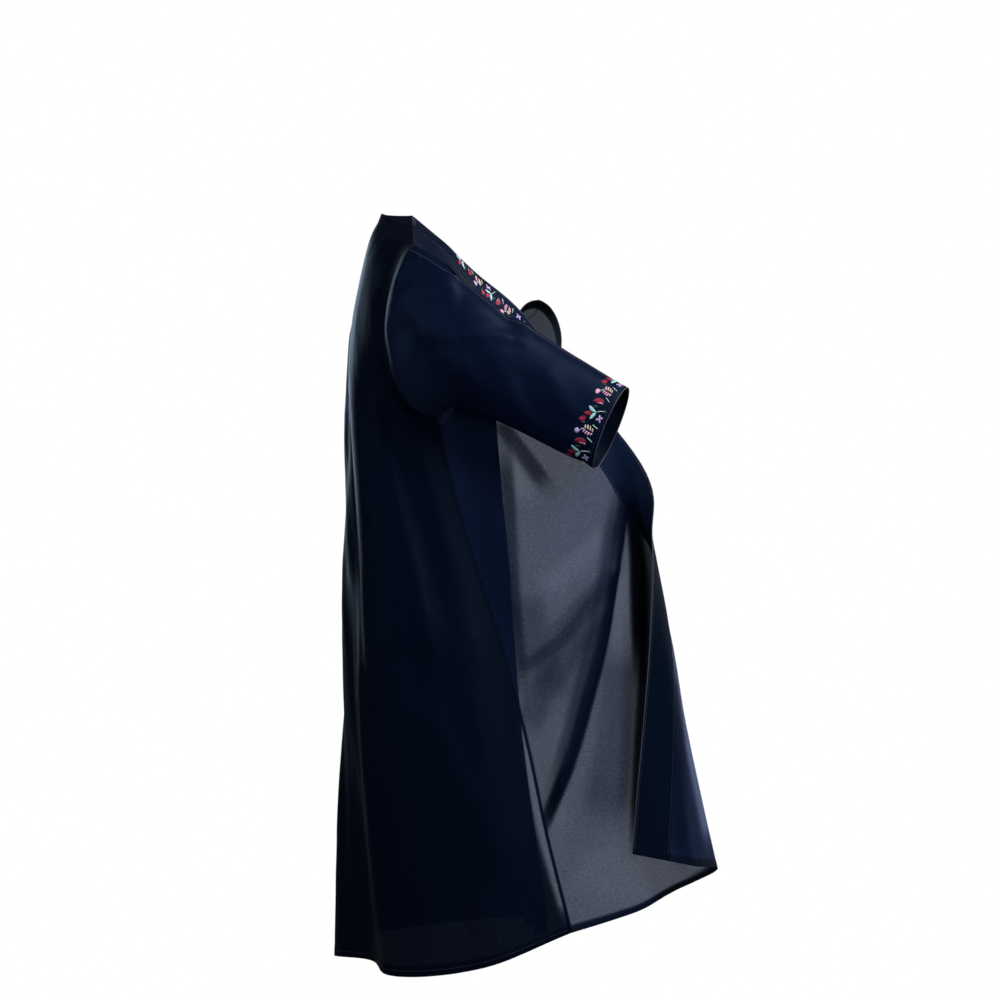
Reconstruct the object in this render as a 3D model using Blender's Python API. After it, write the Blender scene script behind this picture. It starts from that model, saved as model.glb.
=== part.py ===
"""An open abaya: a long collarless over-garment of thin crepe, worn, with one front held out.

Metres. +X is forward, +Y is the wearer's left and +Z is up. The origin is between the shoulders,
at the base of the neck, where the garment is carried.

Every panel is a smooth sheet through a table of sections. A row of a table is one station down
the garment, a column is one named line that runs down the panel, such as a flute or the free
front edge. The sheet then gets its wall, and every seam is mitred between its two panels.
"""

import math
from collections import namedtuple

import bpy
import numpy as np

# Cloth
WALL = 0.002
FACING_WALL = 0.001
SEAM_GAP = 0.0003
FACING_WIDTH = 0.068
FACE_COLOUR = (0.004, 0.006, 0.014)
WRONG_SIDE_COLOUR = (0.007, 0.010, 0.020)
SHARP_EDGE = math.radians(50)

# How finely each panel is divided
ARMHOLE_STEPS = 9
SEAM_STEPS = 18
RIGHT_FRONT_STEPS = 32
LEFT_FRONT_STEPS = 15
FACING_STEPS = 3
SHOULDER_STEPS = 9
NECK_STEPS = 8
SLEEVE_STEPS = 13
SAMPLES = 240

# Distance of each station down the cloth from the shoulder
STATIONS = {
    "shoulder": 0.0,
    "collar": 0.09,
    "chest": 0.18,
    "bust": 0.27,
    "armpit": 0.345,
    "waist": 0.45,
    "hip": 0.60,
    "thigh": 0.78,
    "knee": 0.95,
    "calf": 1.10,
    "hem": 1.27,
}

# Points of the right side, x, y, z. The left side mirrors them.
NECK_SIDE = (-0.003, -0.070, -0.010)
SHOULDER_TIP = (0.005, -0.215, -0.080)
NECK_BACK = (-0.062, 0.0, 0.002)

# The right armhole, once round from the shoulder tip over the front to the underarm and up the back
ARMHOLE = (
    SHOULDER_TIP,
    (0.052, -0.198, -0.145),
    (0.084, -0.180, -0.235),
    (0.082, -0.172, -0.325),
    (0.045, -0.174, -0.385),
    (-0.018, -0.182, -0.345),
    (-0.046, -0.192, -0.245),
    (-0.032, -0.207, -0.145),
)

# Side seams from the underarm to the hem. The right one is drawn forward by the held front.
Seam = namedtuple("Seam", "right left")
SIDE_SEAMS = {
    "armpit": Seam(ARMHOLE[4], (0.045, 0.174, -0.385)),
    "waist": Seam((0.065, -0.190, -0.470), (0.050, 0.185, -0.470)),
    "hip": Seam((0.105, -0.195, -0.620), (0.055, 0.200, -0.620)),
    "thigh": Seam((0.164, -0.205, -0.800), (0.060, 0.218, -0.800)),
    "knee": Seam((0.209, -0.210, -0.970), (0.065, 0.235, -0.970)),
    "calf": Seam((0.241, -0.215, -1.120), (0.070, 0.248, -1.120)),
    "hem": Seam((0.2855, -0.220, -1.298), (0.078, 0.262, -1.372)),
}

# Right front, from the side seam forward to the roll at its outline and back along the flap to the
# free edge. z_roll and z_edge are heights, the other columns are x, y.
RightFront = namedtuple("RightFront", "z_roll z_edge near belly turn roll flap edge")
RIGHT_FRONT = {
    "collar": RightFront(-0.068, -0.058,
                         (0.058, -0.172), (0.064, -0.146), (0.064, -0.122),
                         (0.062, -0.104), (0.059, -0.089), (0.053, -0.075)),
    "chest": RightFront(-0.138, -0.1154,
                        (0.103, -0.160), (0.116, -0.138), (0.120, -0.117),
                        (0.120, -0.099), (0.118, -0.083), (0.1148, -0.065)),
    "bust": RightFront(-0.222, -0.188,
                       (0.118, -0.158), (0.150, -0.136), (0.171, -0.115),
                       (0.184, -0.095), (0.193, -0.075), (0.200, -0.052)),
    "armpit": RightFront(-0.325, -0.305,
                         (0.112, -0.170), (0.175, -0.160), (0.222, -0.150),
                         (0.250, -0.143), (0.269, -0.135), (0.285, -0.125)),
    "waist": RightFront(-0.482, -0.467,
                        (0.150, -0.192), (0.240, -0.195), (0.315, -0.196),
                        (0.355, -0.195), (0.385, -0.194), (0.408, -0.200)),
    "hip": RightFront(-0.612, -0.600,
                      (0.190, -0.208), (0.290, -0.212), (0.372, -0.184),
                      (0.420, -0.146), (0.430, -0.178), (0.4275, -0.216)),
    "thigh": RightFront(-0.785, -0.768,
                        (0.240, -0.215), (0.325, -0.214), (0.398, -0.168),
                        (0.465, -0.125), (0.458, -0.185), (0.424, -0.224)),
    "knee": RightFront(-0.940, -0.918,
                       (0.280, -0.220), (0.352, -0.216), (0.415, -0.165),
                       (0.4946, -0.110), (0.470, -0.195), (0.4125, -0.232)),
    "calf": RightFront(-1.075, -1.040,
                       (0.310, -0.222), (0.375, -0.212), (0.435, -0.158),
                       (0.5236, -0.098), (0.480, -0.205), (0.401, -0.236)),
    "hem": RightFront(-1.211, -1.156,
                      (0.345, -0.213), (0.410, -0.195), (0.470, -0.145),
                      (0.554, -0.088), (0.497, -0.212), (0.392, -0.236)),
}

# Left front, hanging free from the left shoulder over the legs in two soft flutes
LeftFront = namedtuple("LeftFront", "z_edge side front hollow lap edge")
LEFT_FRONT = {
    "collar": LeftFront(-0.060, (0.058, 0.170), (0.063, 0.142), (0.061, 0.118),
                        (0.055, 0.092), (0.046, 0.070)),
    "chest": LeftFront(-0.130, (0.101, 0.155), (0.112, 0.130), (0.112, 0.104),
                       (0.105, 0.080), (0.096, 0.060)),
    "bust": LeftFront(-0.215, (0.105, 0.152), (0.126, 0.126), (0.133, 0.100),
                      (0.132, 0.075), (0.127, 0.052)),
    "armpit": LeftFront(-0.310, (0.088, 0.160), (0.126, 0.132), (0.138, 0.100),
                        (0.143, 0.070), (0.144, 0.045)),
    "waist": LeftFront(-0.430, (0.102, 0.165), (0.145, 0.128), (0.143, 0.094),
                       (0.152, 0.064), (0.155, 0.036)),
    "hip": LeftFront(-0.590, (0.118, 0.190), (0.168, 0.142), (0.152, 0.098),
                     (0.170, 0.055), (0.168, 0.014)),
    "thigh": LeftFront(-0.770, (0.132, 0.212), (0.182, 0.160), (0.160, 0.106),
                       (0.184, 0.052), (0.178, 0.000)),
    "knee": LeftFront(-0.940, (0.143, 0.230), (0.198, 0.176), (0.170, 0.112),
                      (0.198, 0.050), (0.188, -0.010)),
    "calf": LeftFront(-1.090, (0.153, 0.246), (0.216, 0.190), (0.185, 0.118),
                      (0.214, 0.048), (0.200, -0.018)),
    "hem": LeftFront(-1.340, (0.170, 0.268), (0.252, 0.208), (0.208, 0.122),
                     (0.247, 0.042), (0.224, -0.036)),
}

# Back, from the right side seam round to the left one
Back = namedtuple("Back", "z side_r flute_r hollow_r spine hollow_l flute_l side_l")
BACK = {
    "collar": Back((-0.092, -0.070, -0.062, -0.060, -0.062, -0.070, -0.092),
                   (-0.046, -0.160), (-0.066, -0.110), (-0.080, -0.060), (-0.086, 0.000),
                   (-0.080, 0.060), (-0.066, 0.110), (-0.046, 0.160)),
    "chest": Back((-0.205, -0.190, -0.182, -0.180, -0.182, -0.190, -0.205),
                  (-0.076, -0.160), (-0.096, -0.115), (-0.108, -0.062), (-0.112, 0.000),
                  (-0.108, 0.062), (-0.096, 0.115), (-0.076, 0.160)),
    "bust": Back((-0.315, -0.300, -0.292, -0.290, -0.292, -0.300, -0.315),
                 (-0.072, -0.160), (-0.103, -0.120), (-0.118, -0.064), (-0.123, 0.000),
                 (-0.118, 0.064), (-0.103, 0.120), (-0.072, 0.160)),
    "armpit": Back((-0.385, -0.380, -0.375, -0.375, -0.375, -0.380, -0.385),
                   (-0.040, -0.176), (-0.098, -0.136), (-0.119, -0.068), (-0.126, 0.000),
                   (-0.119, 0.066), (-0.100, 0.124), (-0.045, 0.168)),
    "waist": Back((-0.470,) * 7,
                  (-0.020, -0.192), (-0.092, -0.150), (-0.114, -0.074), (-0.127, 0.000),
                  (-0.117, 0.070), (-0.096, 0.134), (-0.035, 0.178)),
    "hip": Back((-0.620,) * 7,
                (0.008, -0.207), (-0.086, -0.160), (-0.105, -0.082), (-0.130, 0.000),
                (-0.108, 0.080), (-0.098, 0.150), (-0.025, 0.196)),
    "thigh": Back((-0.800,) * 7,
                  (0.038, -0.217), (-0.088, -0.165), (-0.098, -0.090), (-0.134, 0.003),
                  (-0.100, 0.088), (-0.106, 0.162), (-0.020, 0.216)),
    "knee": Back((-0.970,) * 7,
                 (0.062, -0.222), (-0.084, -0.168), (-0.092, -0.094), (-0.139, 0.010),
                 (-0.094, 0.094), (-0.112, 0.172), (-0.018, 0.234)),
    "calf": Back((-1.120,) * 7,
                 (0.084, -0.224), (-0.072, -0.168), (-0.082, -0.096), (-0.145, 0.016),
                 (-0.090, 0.100), (-0.116, 0.182), (-0.014, 0.250)),
    "hem": Back((-1.362, -1.382, -1.376, -1.388, -1.390, -1.390, -1.384),
                (0.120, -0.223), (-0.046, -0.170), (-0.070, -0.094), (-0.152, 0.022),
                (-0.084, 0.104), (-0.122, 0.194), (-0.010, 0.268)),
}

# Sleeve rings from just outside the armhole to the cuff. Their side direction turns from forward
# towards the body, and their top leans the way the arm goes. The left one is written as if it
# were on the right, and mirrored.
Ring = namedtuple("Ring", "run x y z half_height half_depth lean turn loop")
RIGHT_SLEEVE = (
    Ring(0.05, 0.024, -0.222, -0.240, 0.140, 0.062, 4, 8, 0.75),
    Ring(0.16, 0.050, -0.243, -0.250, 0.128, 0.060, 14, 30, 0.35),
    Ring(0.32, 0.096, -0.252, -0.267, 0.112, 0.056, 26, 52, 0.08),
    Ring(0.48, 0.150, -0.257, -0.296, 0.093, 0.052, 33, 68, 0.0),
    Ring(0.66, 0.2157, -0.262, -0.333, 0.083, 0.049, 35, 76, 0.0),
    Ring(0.84, 0.285, -0.268, -0.372, 0.079, 0.045, 31, 76, 0.0),
    Ring(1.00, 0.352, -0.275, -0.4085, 0.0760, 0.042, 23, 70, 0.0),
)
LEFT_SLEEVE = (
    Ring(0.05, 0.022, -0.222, -0.240, 0.140, 0.062, 2, 8, 0.75),
    Ring(0.16, 0.042, -0.250, -0.246, 0.126, 0.060, 8, 26, 0.35),
    Ring(0.32, 0.082, -0.280, -0.258, 0.112, 0.056, 12, 55, 0.08),
    Ring(0.48, 0.135, -0.283, -0.275, 0.098, 0.052, 8, 92, 0.0),
    Ring(0.66, 0.186, -0.240, -0.272, 0.088, 0.048, 0, 128, 0.0),
    Ring(0.84, 0.218, -0.155, -0.250, 0.080, 0.047, -4, 158, 0.0),
    Ring(1.00, 0.229, -0.050, -0.231, 0.0766, 0.047, -4, 170, 0.0),
)

# Largest folds, each along a straight line seen from the side: from its upper to its lower end, with
# the half width of its crest and its height. A negative height is a trough.
Fold = namedtuple("Fold", "piece top_x top_z low_x low_z width height")
FOLDS = (
    Fold("front_right", 0.372, -0.560, 0.243, -1.090, 0.032, 0.011),
    Fold("front_right", 0.330, -0.545, 0.196, -0.960, 0.034, -0.006),
    Fold("front_right", 0.160, -0.396, 0.245, -0.520, 0.030, 0.008),
    Fold("back", -0.052, -0.180, 0.030, -0.380, 0.026, 0.006),
    Fold("back", -0.030, -0.300, 0.128, -0.760, 0.034, 0.009),
    Fold("back", -0.060, -0.330, 0.060, -0.780, 0.034, -0.007),
    Fold("back", 0.090, -0.680, 0.175, -1.250, 0.036, 0.008),
)
# How far from a seam a fold dies out, the share of its height that its ends keep, how steeply the
# ends rise, and how far towards the middle of the garment the near side's folds reach
FOLD_FADE = 0.05
FOLD_END = 0.35
FOLD_RISE = 4.0
FOLD_REACH = 0.10

# A mitre is never longer than the wall's thickness divided by this
MITRE_LIMIT = 0.65
# Share of the back's width from each side seam to the side of the neck
SHOULDER_SHARE = 0.27

MIRROR = np.array([1.0, -1.0, 1.0])

# Pieces whose rows and columns turn the other way round, seen from outside
TURNED = ("back", "front_left", "sleeve_left", "front_facing_left")

# Pieces whose folds run against their columns, so their squares are cut along the other diagonal
CUT_ACROSS = ("front_right", "front_facing_right")


def smooth(knots, points, at):
    """The curve through points at knots, of piecewise cubics that share their slopes, read at `at`."""
    knots = np.asarray(knots, float)
    points = np.asarray(points, float)
    at = np.asarray(at, float)
    slopes = np.gradient(points, knots, axis=0)
    first = np.clip(np.searchsorted(knots, at, "right") - 1, 0, len(knots) - 2)
    shape = (-1,) + (1,) * (points.ndim - 1)
    step = (knots[first + 1] - knots[first]).reshape(shape)
    s = ((at - knots[first]).reshape(shape)) / step
    return (
        (1 + 2 * s) * (1 - s) ** 2 * points[first]
        + s * (1 - s) ** 2 * step * slopes[first]
        + s * s * (3 - 2 * s) * points[first + 1]
        + s * s * (s - 1) * step * slopes[first + 1]
    )


def lengths(points):
    """Distance along a line of points to each of them."""
    steps = np.linalg.norm(np.diff(points, axis=0), axis=1)
    return np.concatenate([[0.0], np.cumsum(steps)])


def armhole(turns):
    """The right armhole at shares of one turn: 0 is the shoulder tip and 0.5 the underarm."""
    count = len(ARMHOLE)
    points = np.array([ARMHOLE[i % count] for i in range(-2, count + 3)])
    knots = np.arange(-2, count + 3) / count
    return smooth(knots, points, turns)


def station_rows():
    """Where the rows of every panel lie down the cloth, in two runs that meet at the underarm."""
    armpit = STATIONS["armpit"]
    above = np.linspace(0.0, armpit, ARMHOLE_STEPS + 1)
    below = np.linspace(armpit, STATIONS["hem"], SEAM_STEPS + 1)
    return above, below


def all_rows():
    """The rows of every panel in one run."""
    above, below = station_rows()
    return np.concatenate([above, below[1:]])


def side_line(side, branch):
    """The armhole down to the underarm, by its front or back branch, then the side seam."""
    above, below = station_rows()
    share = 0.5 * above / STATIONS["armpit"]
    hole = armhole(share if branch == "front" else 1.0 - share)
    if side == "left":
        hole = hole * MIRROR
    knots = [STATIONS[name] for name in SIDE_SEAMS]
    seam = smooth(knots, [getattr(row, side) for row in SIDE_SEAMS.values()], below)
    return np.concatenate([hole, seam[1:]])


def down(columns):
    """Each column of a table, given at every station, read on all rows: rows, columns, xyz."""
    return smooth(list(STATIONS.values()), columns, all_rows())


def heights_along(plan, known):
    """Heights of one section's points: known ones are kept, others follow the length between them."""
    run = lengths(np.asarray(plan, float))
    places = sorted(known)
    return np.interp(run, run[places], [known[i] for i in places])


def on_shoulder(side, count):
    """Points of the shoulder seam, which is straight, from its tip to the neck."""
    tip = np.array(SHOULDER_TIP)
    neck = np.array(NECK_SIDE)
    share = np.linspace(0.0, 1.0, count)[:, None]
    line = tip + (neck - tip) * share
    return line if side == "right" else line * MIRROR


def resampled(controls, targets_of):
    """Each row of controls as a smooth line, cut at the lengths that targets_of gives for its length."""
    rows = []
    for row in controls:
        line = smooth(lengths(row), row, np.linspace(0.0, lengths(row)[-1], SAMPLES))
        run = lengths(line)
        targets = targets_of(run[-1])
        rows.append(np.stack([np.interp(targets, run, line[:, k]) for k in range(3)], axis=1))
    return np.array(rows)


def front_sheet(side, table, names, steps, roll=None):
    """A front panel: rows from the shoulder to the hem, columns from the side seam to the edge."""
    edge_side = side_line(side, "front")
    stations = list(STATIONS)
    rows = all_rows()
    side_at = {name: smooth(rows, edge_side, [STATIONS[name]])[0] for name in stations}
    columns = [on_shoulder(side, len(names) + 1)[1:]]
    for name in stations[1:]:
        row = table[name]
        plan = [side_at[name][:2]] + [getattr(row, column) for column in names]
        known = {0: side_at[name][2], len(names): row.z_edge}
        if roll:
            known[1 + names.index(roll)] = row.z_roll
        heights = heights_along(plan, known)
        columns.append(np.column_stack([plan, heights])[1:])
    controls = np.concatenate([edge_side[:, None], down(columns)], axis=1)

    def targets(total):
        body = np.linspace(0.0, total - FACING_WIDTH, steps + 1)
        return np.concatenate([body, np.linspace(total - FACING_WIDTH, total, FACING_STEPS + 1)[1:]])

    sheet = resampled(controls, targets)
    straight = lengths(sheet[0]) / lengths(sheet[0])[-1]
    tip, neck = on_shoulder(side, 2)
    sheet[0] = tip + (neck - tip) * straight[:, None]
    return sheet


def back_sheet():
    """The back panel: rows from the shoulders and neck to the hem, columns from right to left seam."""
    names = Back._fields[1:]
    right = side_line("right", "back")
    left = side_line("left", "back")
    neck = np.array(NECK_SIDE)
    shoulder = on_shoulder("right", 2)
    middle = (np.array(NECK_BACK) + neck) / 2 + (-0.014, 0.0, -0.001)
    top = [shoulder.mean(0), neck, middle, np.array(NECK_BACK)]
    top += [point * MIRROR for point in top[2::-1]]
    columns = [np.array(top)]
    for name in list(STATIONS)[1:]:
        row = BACK[name]
        plan = [getattr(row, column) for column in names]
        columns.append(np.column_stack([plan, row.z]))
    controls = np.concatenate([right[:, None], down(columns), left[:, None]], axis=1)

    def targets(total):
        first = np.linspace(0.0, SHOULDER_SHARE, SHOULDER_STEPS + 1)
        across = np.linspace(SHOULDER_SHARE, 1 - SHOULDER_SHARE, NECK_STEPS + 1)[1:]
        last = np.linspace(1 - SHOULDER_SHARE, 1.0, SHOULDER_STEPS + 1)[1:]
        return total * np.concatenate([first, across, last])

    sheet = resampled(controls, targets)
    arc = smooth([0, 1, 2, 3, 4], [neck, middle, NECK_BACK, middle * MIRROR, neck * MIRROR],
                 np.linspace(0, 4, NECK_STEPS + 1))
    top_line = np.concatenate([on_shoulder("right", SHOULDER_STEPS + 1), arc[1:-1],
                               on_shoulder("left", SHOULDER_STEPS + 1)[::-1]])
    fade = np.clip(1 - all_rows() / STATIONS["chest"], 0, 1) ** 2
    return sheet + fade[:, None, None] * (top_line - sheet[0])


def sleeve_sheet(table, side):
    """A sleeve: rows are rings from the armhole to the cuff, columns go once round from the top."""
    count = 2 * ARMHOLE_STEPS
    turns = np.arange(count) / count
    loop = armhole(turns)
    angle = 2 * math.pi * turns[:, None]
    rings = [loop]
    knots = [0.0]
    for ring in table:
        turn = math.radians(ring.turn)
        lean = math.radians(ring.lean)
        across = np.array([math.cos(turn), math.sin(turn), 0.0])
        travel = np.array([math.sin(turn), -math.cos(turn), 0.0])
        up = math.sin(lean) * travel + np.array([0.0, 0.0, math.cos(lean)])
        centre = np.array([ring.x, ring.y, ring.z])
        oval = centre + ring.half_height * np.cos(angle) * up + ring.half_depth * np.sin(angle) * across
        moved = loop + centre - loop.mean(0)
        rings.append(ring.loop * moved + (1 - ring.loop) * oval)
        knots.append(ring.run)
    at = np.concatenate([[0.0, 0.05], np.linspace(0.05, 1.0, SLEEVE_STEPS)[1:]])
    sheet = smooth(knots, rings, at)
    return sheet if side == "right" else sheet * MIRROR


def normals_of(sheet, around=False):
    """Unit normals of a sheet of points. A sleeve closes on itself around."""
    rows = np.gradient(sheet, axis=0)
    if around:
        columns = (np.roll(sheet, -1, axis=1) - np.roll(sheet, 1, axis=1)) / 2
    else:
        columns = np.gradient(sheet, axis=1)
    normal = np.cross(rows, columns)
    return normal / np.linalg.norm(normal, axis=2, keepdims=True)


def facing_out(name):
    """The sign that turns a piece's normals outwards."""
    return -1 if name in TURNED else 1


def folded(name, sheet):
    """A sheet of the near side with its folds raised: each is a round crest along its own line."""
    outward = normals_of(sheet) * facing_out(name)
    raised = np.zeros(sheet.shape[:2])
    for fold in FOLDS:
        if fold.piece != name:
            continue
        top = np.array([fold.top_x, fold.top_z])
        run = np.array([fold.low_x, fold.low_z]) - top
        reach = sheet[..., ::2] - top
        along = reach @ run / (run @ run)
        off = reach @ np.array([run[1], -run[0]]) / np.linalg.norm(run)
        ends = np.clip(np.minimum(along, 1 - along) * FOLD_RISE + FOLD_END, 0, 1) ** 2
        raised += fold.height * np.exp(-((off / fold.width) ** 2)) * ends
    near_side = np.clip(-sheet[..., 1] / FOLD_REACH, 0, 1)
    to_seam = np.linalg.norm(sheet - sheet[:, :1], axis=2)
    to_edge = np.linalg.norm(sheet - sheet[:, -1:], axis=2)
    fade = np.clip(np.minimum(to_seam, to_edge) / FOLD_FADE, 0, 1)
    return sheet + (raised * near_side * fade)[..., None] * outward


def mitred(*normals):
    """The mean of normals that meet at a seam, stretched so that the wall keeps its thickness."""
    total = np.sum(normals, axis=0)
    mean = total / np.linalg.norm(total, axis=-1, keepdims=True)
    lean = np.min([np.sum(mean * n, axis=-1) for n in normals], axis=0)
    return mean / np.clip(lean, MITRE_LIMIT, 1.0)[..., None]


def pulled_in(line, inner, normal, distance):
    """A boundary line moved into its sheet, square to its own run, on the side of its inner neighbours."""
    run = np.gradient(line, axis=0)
    inward = np.cross(run, normal)
    inward /= np.linalg.norm(inward, axis=-1, keepdims=True)
    side = np.sign(np.sum(inward * (inner - line)))
    return line + side * distance * inward


def wall(name, outer, inner, colour, around=False):
    """A closed mesh between two sheets of points, as one object with its own material."""
    rows, columns = outer.shape[:2]
    index = np.arange(rows * columns).reshape(rows, columns)
    span = columns if around else columns - 1
    a = index[:-1, :span]
    b = np.roll(index, -1, axis=1)[:-1, :span]
    c = np.roll(index, -1, axis=1)[1:, :span]
    d = index[1:, :span]
    cut = ((a, d, b), (b, d, c)) if name in CUT_ACROSS else ((a, d, c), (a, c, b))
    halves = [np.stack(corners, axis=-1).reshape(-1, 3) for corners in cut]
    far = rows * columns
    skin = np.concatenate(halves)
    faces = [skin, skin[:, ::-1] + far]
    rims = [index[0], index[-1, ::-1]]
    if around:
        rims = [np.append(rim, rim[0]) for rim in rims]
    else:
        rims += [index[::-1, 0], index[:, -1]]
    points = np.concatenate([outer.reshape(-1, 3), inner.reshape(-1, 3)])
    for rim in rims:
        # Both sides of a seam cut their rim along the diagonal that starts at its higher outer point.
        start, end = rim[:-1], rim[1:]
        falls = (points[start, 2] >= points[end, 2])[:, None]
        for down_run, up_run in (((start, end, end + far), (start, end, start + far)),
                                 ((start, end + far, start + far), (end, end + far, start + far))):
            faces.append(np.where(falls, np.stack(down_run, axis=-1), np.stack(up_run, axis=-1)))
    faces = np.concatenate(faces)
    if name in TURNED:
        faces = faces[:, ::-1]
    mesh = bpy.data.meshes.new(name)
    mesh.from_pydata(points.tolist(), [], faces.tolist())
    mesh.shade_smooth()
    mesh.set_sharp_from_angle(angle=SHARP_EDGE)
    mesh.materials.append(cloth(name, colour))
    piece = bpy.data.objects.new(name, mesh)
    bpy.context.scene.collection.objects.link(piece)
    return piece


def cloth(name, colour):
    """Dark crepe with a soft satin face."""
    material = bpy.data.materials.new(name)
    material.use_nodes = True
    shader = material.node_tree.nodes["Principled BSDF"]
    shader.inputs["Base Color"].default_value = (*colour, 1.0)
    shader.inputs["Roughness"].default_value = 0.55
    shader.inputs["Metallic"].default_value = 0.0
    material.diffuse_color = (*colour, 1.0)
    return material


def ridge_normal(side):
    """Upward normal of a shoulder seam, square to it."""
    tip, neck = on_shoulder(side, 2)
    ridge = np.cross(neck - tip, (1.0, 0.0, 0.0))
    return ridge * np.sign(ridge[2]) / np.linalg.norm(ridge)


def join_seams(normals, side):
    """Give the pieces that meet at one side's seams the same normals there, so their rims are parallel."""
    hole = ARMHOLE_STEPS
    column = 0 if side == "right" else -1
    front = normals["front_" + side]
    back = normals["back"]
    sleeve = normals["sleeve_" + side]
    back_turn = -np.arange(hole + 1) % (2 * hole)
    ridge = ridge_normal(side)
    top = mitred(ridge, sleeve[0, 0])
    underarm = mitred(front[hole, 0], back[hole, column], sleeve[0, hole])
    seam = mitred(front[hole:, 0], back[hole:, column])
    front_hole = mitred(front[:hole + 1, 0], sleeve[0, :hole + 1])
    back_hole = mitred(back[:hole + 1, column], sleeve[0, back_turn])
    front[hole:, 0] = seam
    back[hole:, column] = seam
    front[:hole + 1, 0] = front_hole
    sleeve[0, :hole + 1] = front_hole
    back[:hole + 1, column] = back_hole
    sleeve[0, back_turn] = back_hole
    front[hole, 0] = underarm
    back[hole, column] = underarm
    sleeve[0, hole] = underarm
    shoulder = slice(0, SHOULDER_STEPS + 1) if side == "right" else slice(-SHOULDER_STEPS - 1, None)
    front[0] = ridge
    back[0, shoulder] = ridge
    front[0, 0] = top
    back[0, column] = top
    sleeve[0, 0] = top


def part_seams(sheets, normals):
    """Draw each piece back from its seams by half the gap that parts it from its neighbour."""
    half = SEAM_GAP / 2
    back = sheets["back"]
    for side, column, inner in (("right", 0, 1), ("left", -1, -2)):
        front = sheets["front_" + side]
        out = normals["front_" + side]
        front[:, 0] = pulled_in(front[:, 0], front[:, 1], out[:, 0], half)
        front[0] = pulled_in(front[0], front[1], out[0], half)
        back[:, column] = pulled_in(back[:, column], back[:, inner], normals["back"][:, column], half)
        sleeve = sheets["sleeve_" + side]
        step = sleeve[1] - sleeve[0]
        sleeve[0] += half * step / np.linalg.norm(step, axis=-1, keepdims=True)
    back[0] = pulled_in(back[0], back[1], normals["back"][0], half)


def facing(side, sheets, normals, colour):
    """The strip that faces the free front edge, on the inner face of its panel, below the shoulder."""
    front = sheets["front_" + side][1:, -FACING_STEPS - 1:]
    out = normals["front_" + side][1:, -FACING_STEPS - 1:]
    near = WALL / 2 + SEAM_GAP
    wall("front_facing_" + side, front - out * near, front - out * (near + FACING_WALL), colour)


def main():
    for old in list(bpy.data.objects):
        bpy.data.objects.remove(old, do_unlink=True)
    sheets = {
        "front_right": front_sheet("right", RIGHT_FRONT, RightFront._fields[2:],
                                   RIGHT_FRONT_STEPS, roll="roll"),
        "front_left": front_sheet("left", LEFT_FRONT, LeftFront._fields[1:], LEFT_FRONT_STEPS),
        "back": back_sheet(),
        "sleeve_right": sleeve_sheet(RIGHT_SLEEVE, "right"),
        "sleeve_left": sleeve_sheet(LEFT_SLEEVE, "left"),
    }
    for name in ("front_right", "back"):
        sheets[name] = folded(name, sheets[name])
    normals = {name: facing_out(name) * normals_of(sheet, around=name.startswith("sleeve"))
               for name, sheet in sheets.items()}
    for side in ("right", "left"):
        join_seams(normals, side)
    part_seams(sheets, normals)
    for name, sheet in sheets.items():
        half_wall = normals[name] * WALL / 2
        wall(name, sheet + half_wall, sheet - half_wall, FACE_COLOUR, around=name.startswith("sleeve"))
    for side in ("right", "left"):
        facing(side, sheets, normals, WRONG_SIDE_COLOUR)


main()
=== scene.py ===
# %% [markdown]
# # An open abaya of thin black crepe
#
# An abaya is a long, loose over-garment that is open down the front. This one has no collar, wide
# straight sleeves and a band of flower embroidery round each cuff and along the neckline. It is worn
# here by nobody: the cloth keeps the hollow shape that shoulders and arms give it, with one front
# held out to the side and rolled back on itself.
#
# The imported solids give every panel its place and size. Each solid is a 2 mm wall with few faces.
# This lesson makes the real cloth in its place: the same curves, divided far more finely, with
# creases, hems, stitches, embroidery and a see-through crepe.

# %% Load the solids that the cloth is made around
import math
from collections import namedtuple

import bpy
import numpy as np
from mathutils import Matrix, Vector


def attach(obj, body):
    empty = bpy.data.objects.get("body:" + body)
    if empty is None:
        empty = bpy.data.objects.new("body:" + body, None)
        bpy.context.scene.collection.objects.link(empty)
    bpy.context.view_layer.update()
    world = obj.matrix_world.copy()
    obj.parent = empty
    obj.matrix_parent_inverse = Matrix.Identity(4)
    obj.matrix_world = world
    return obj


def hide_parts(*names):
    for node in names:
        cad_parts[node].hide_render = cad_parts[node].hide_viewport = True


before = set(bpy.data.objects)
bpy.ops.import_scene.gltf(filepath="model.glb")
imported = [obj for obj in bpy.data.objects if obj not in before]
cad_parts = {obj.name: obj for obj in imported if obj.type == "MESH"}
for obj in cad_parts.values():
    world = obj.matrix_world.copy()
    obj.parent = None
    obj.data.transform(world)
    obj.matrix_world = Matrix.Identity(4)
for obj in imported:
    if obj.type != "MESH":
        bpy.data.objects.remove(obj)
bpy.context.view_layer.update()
print("solids:", sorted(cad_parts))

# %% [markdown]
# ## Sizes of the cloth and how finely it is divided
#
# Crepe of this kind is under half a millimetre thick. A shell that thin is hard to see at its edges,
# so it is made 0.7 mm thick. A hem is the same cloth turned up twice, so it is thicker and lets less
# light through. A panel gets 191 rows and 131 to 211 columns, which is enough for soft creases.

# %% Sizes of the cloth
CLOTH = 0.0007
FACING_CLOTH = 0.0006
SEAM_GAP = 0.000002
FACING_GAP = 0.0003
FACING_WIDTH = 0.068
HEM_WIDTH = 0.012
CUFF_HEM = 0.007
SEAM_ALLOWANCE = 0.009
CUFF_BACKING = 0.066
ARMHOLE_STEPS = 60
SEAM_STEPS = 130
FACING_STEPS = 20
RIGHT_FRONT_STEPS = 150
LEFT_FRONT_STEPS = 110
SHOULDER_STEPS = 60
NECK_STEPS = 90
SLEEVE_STEPS = 130
SAMPLES = 400
print("rows in a panel:", ARMHOLE_STEPS + SEAM_STEPS + 1)

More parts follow.
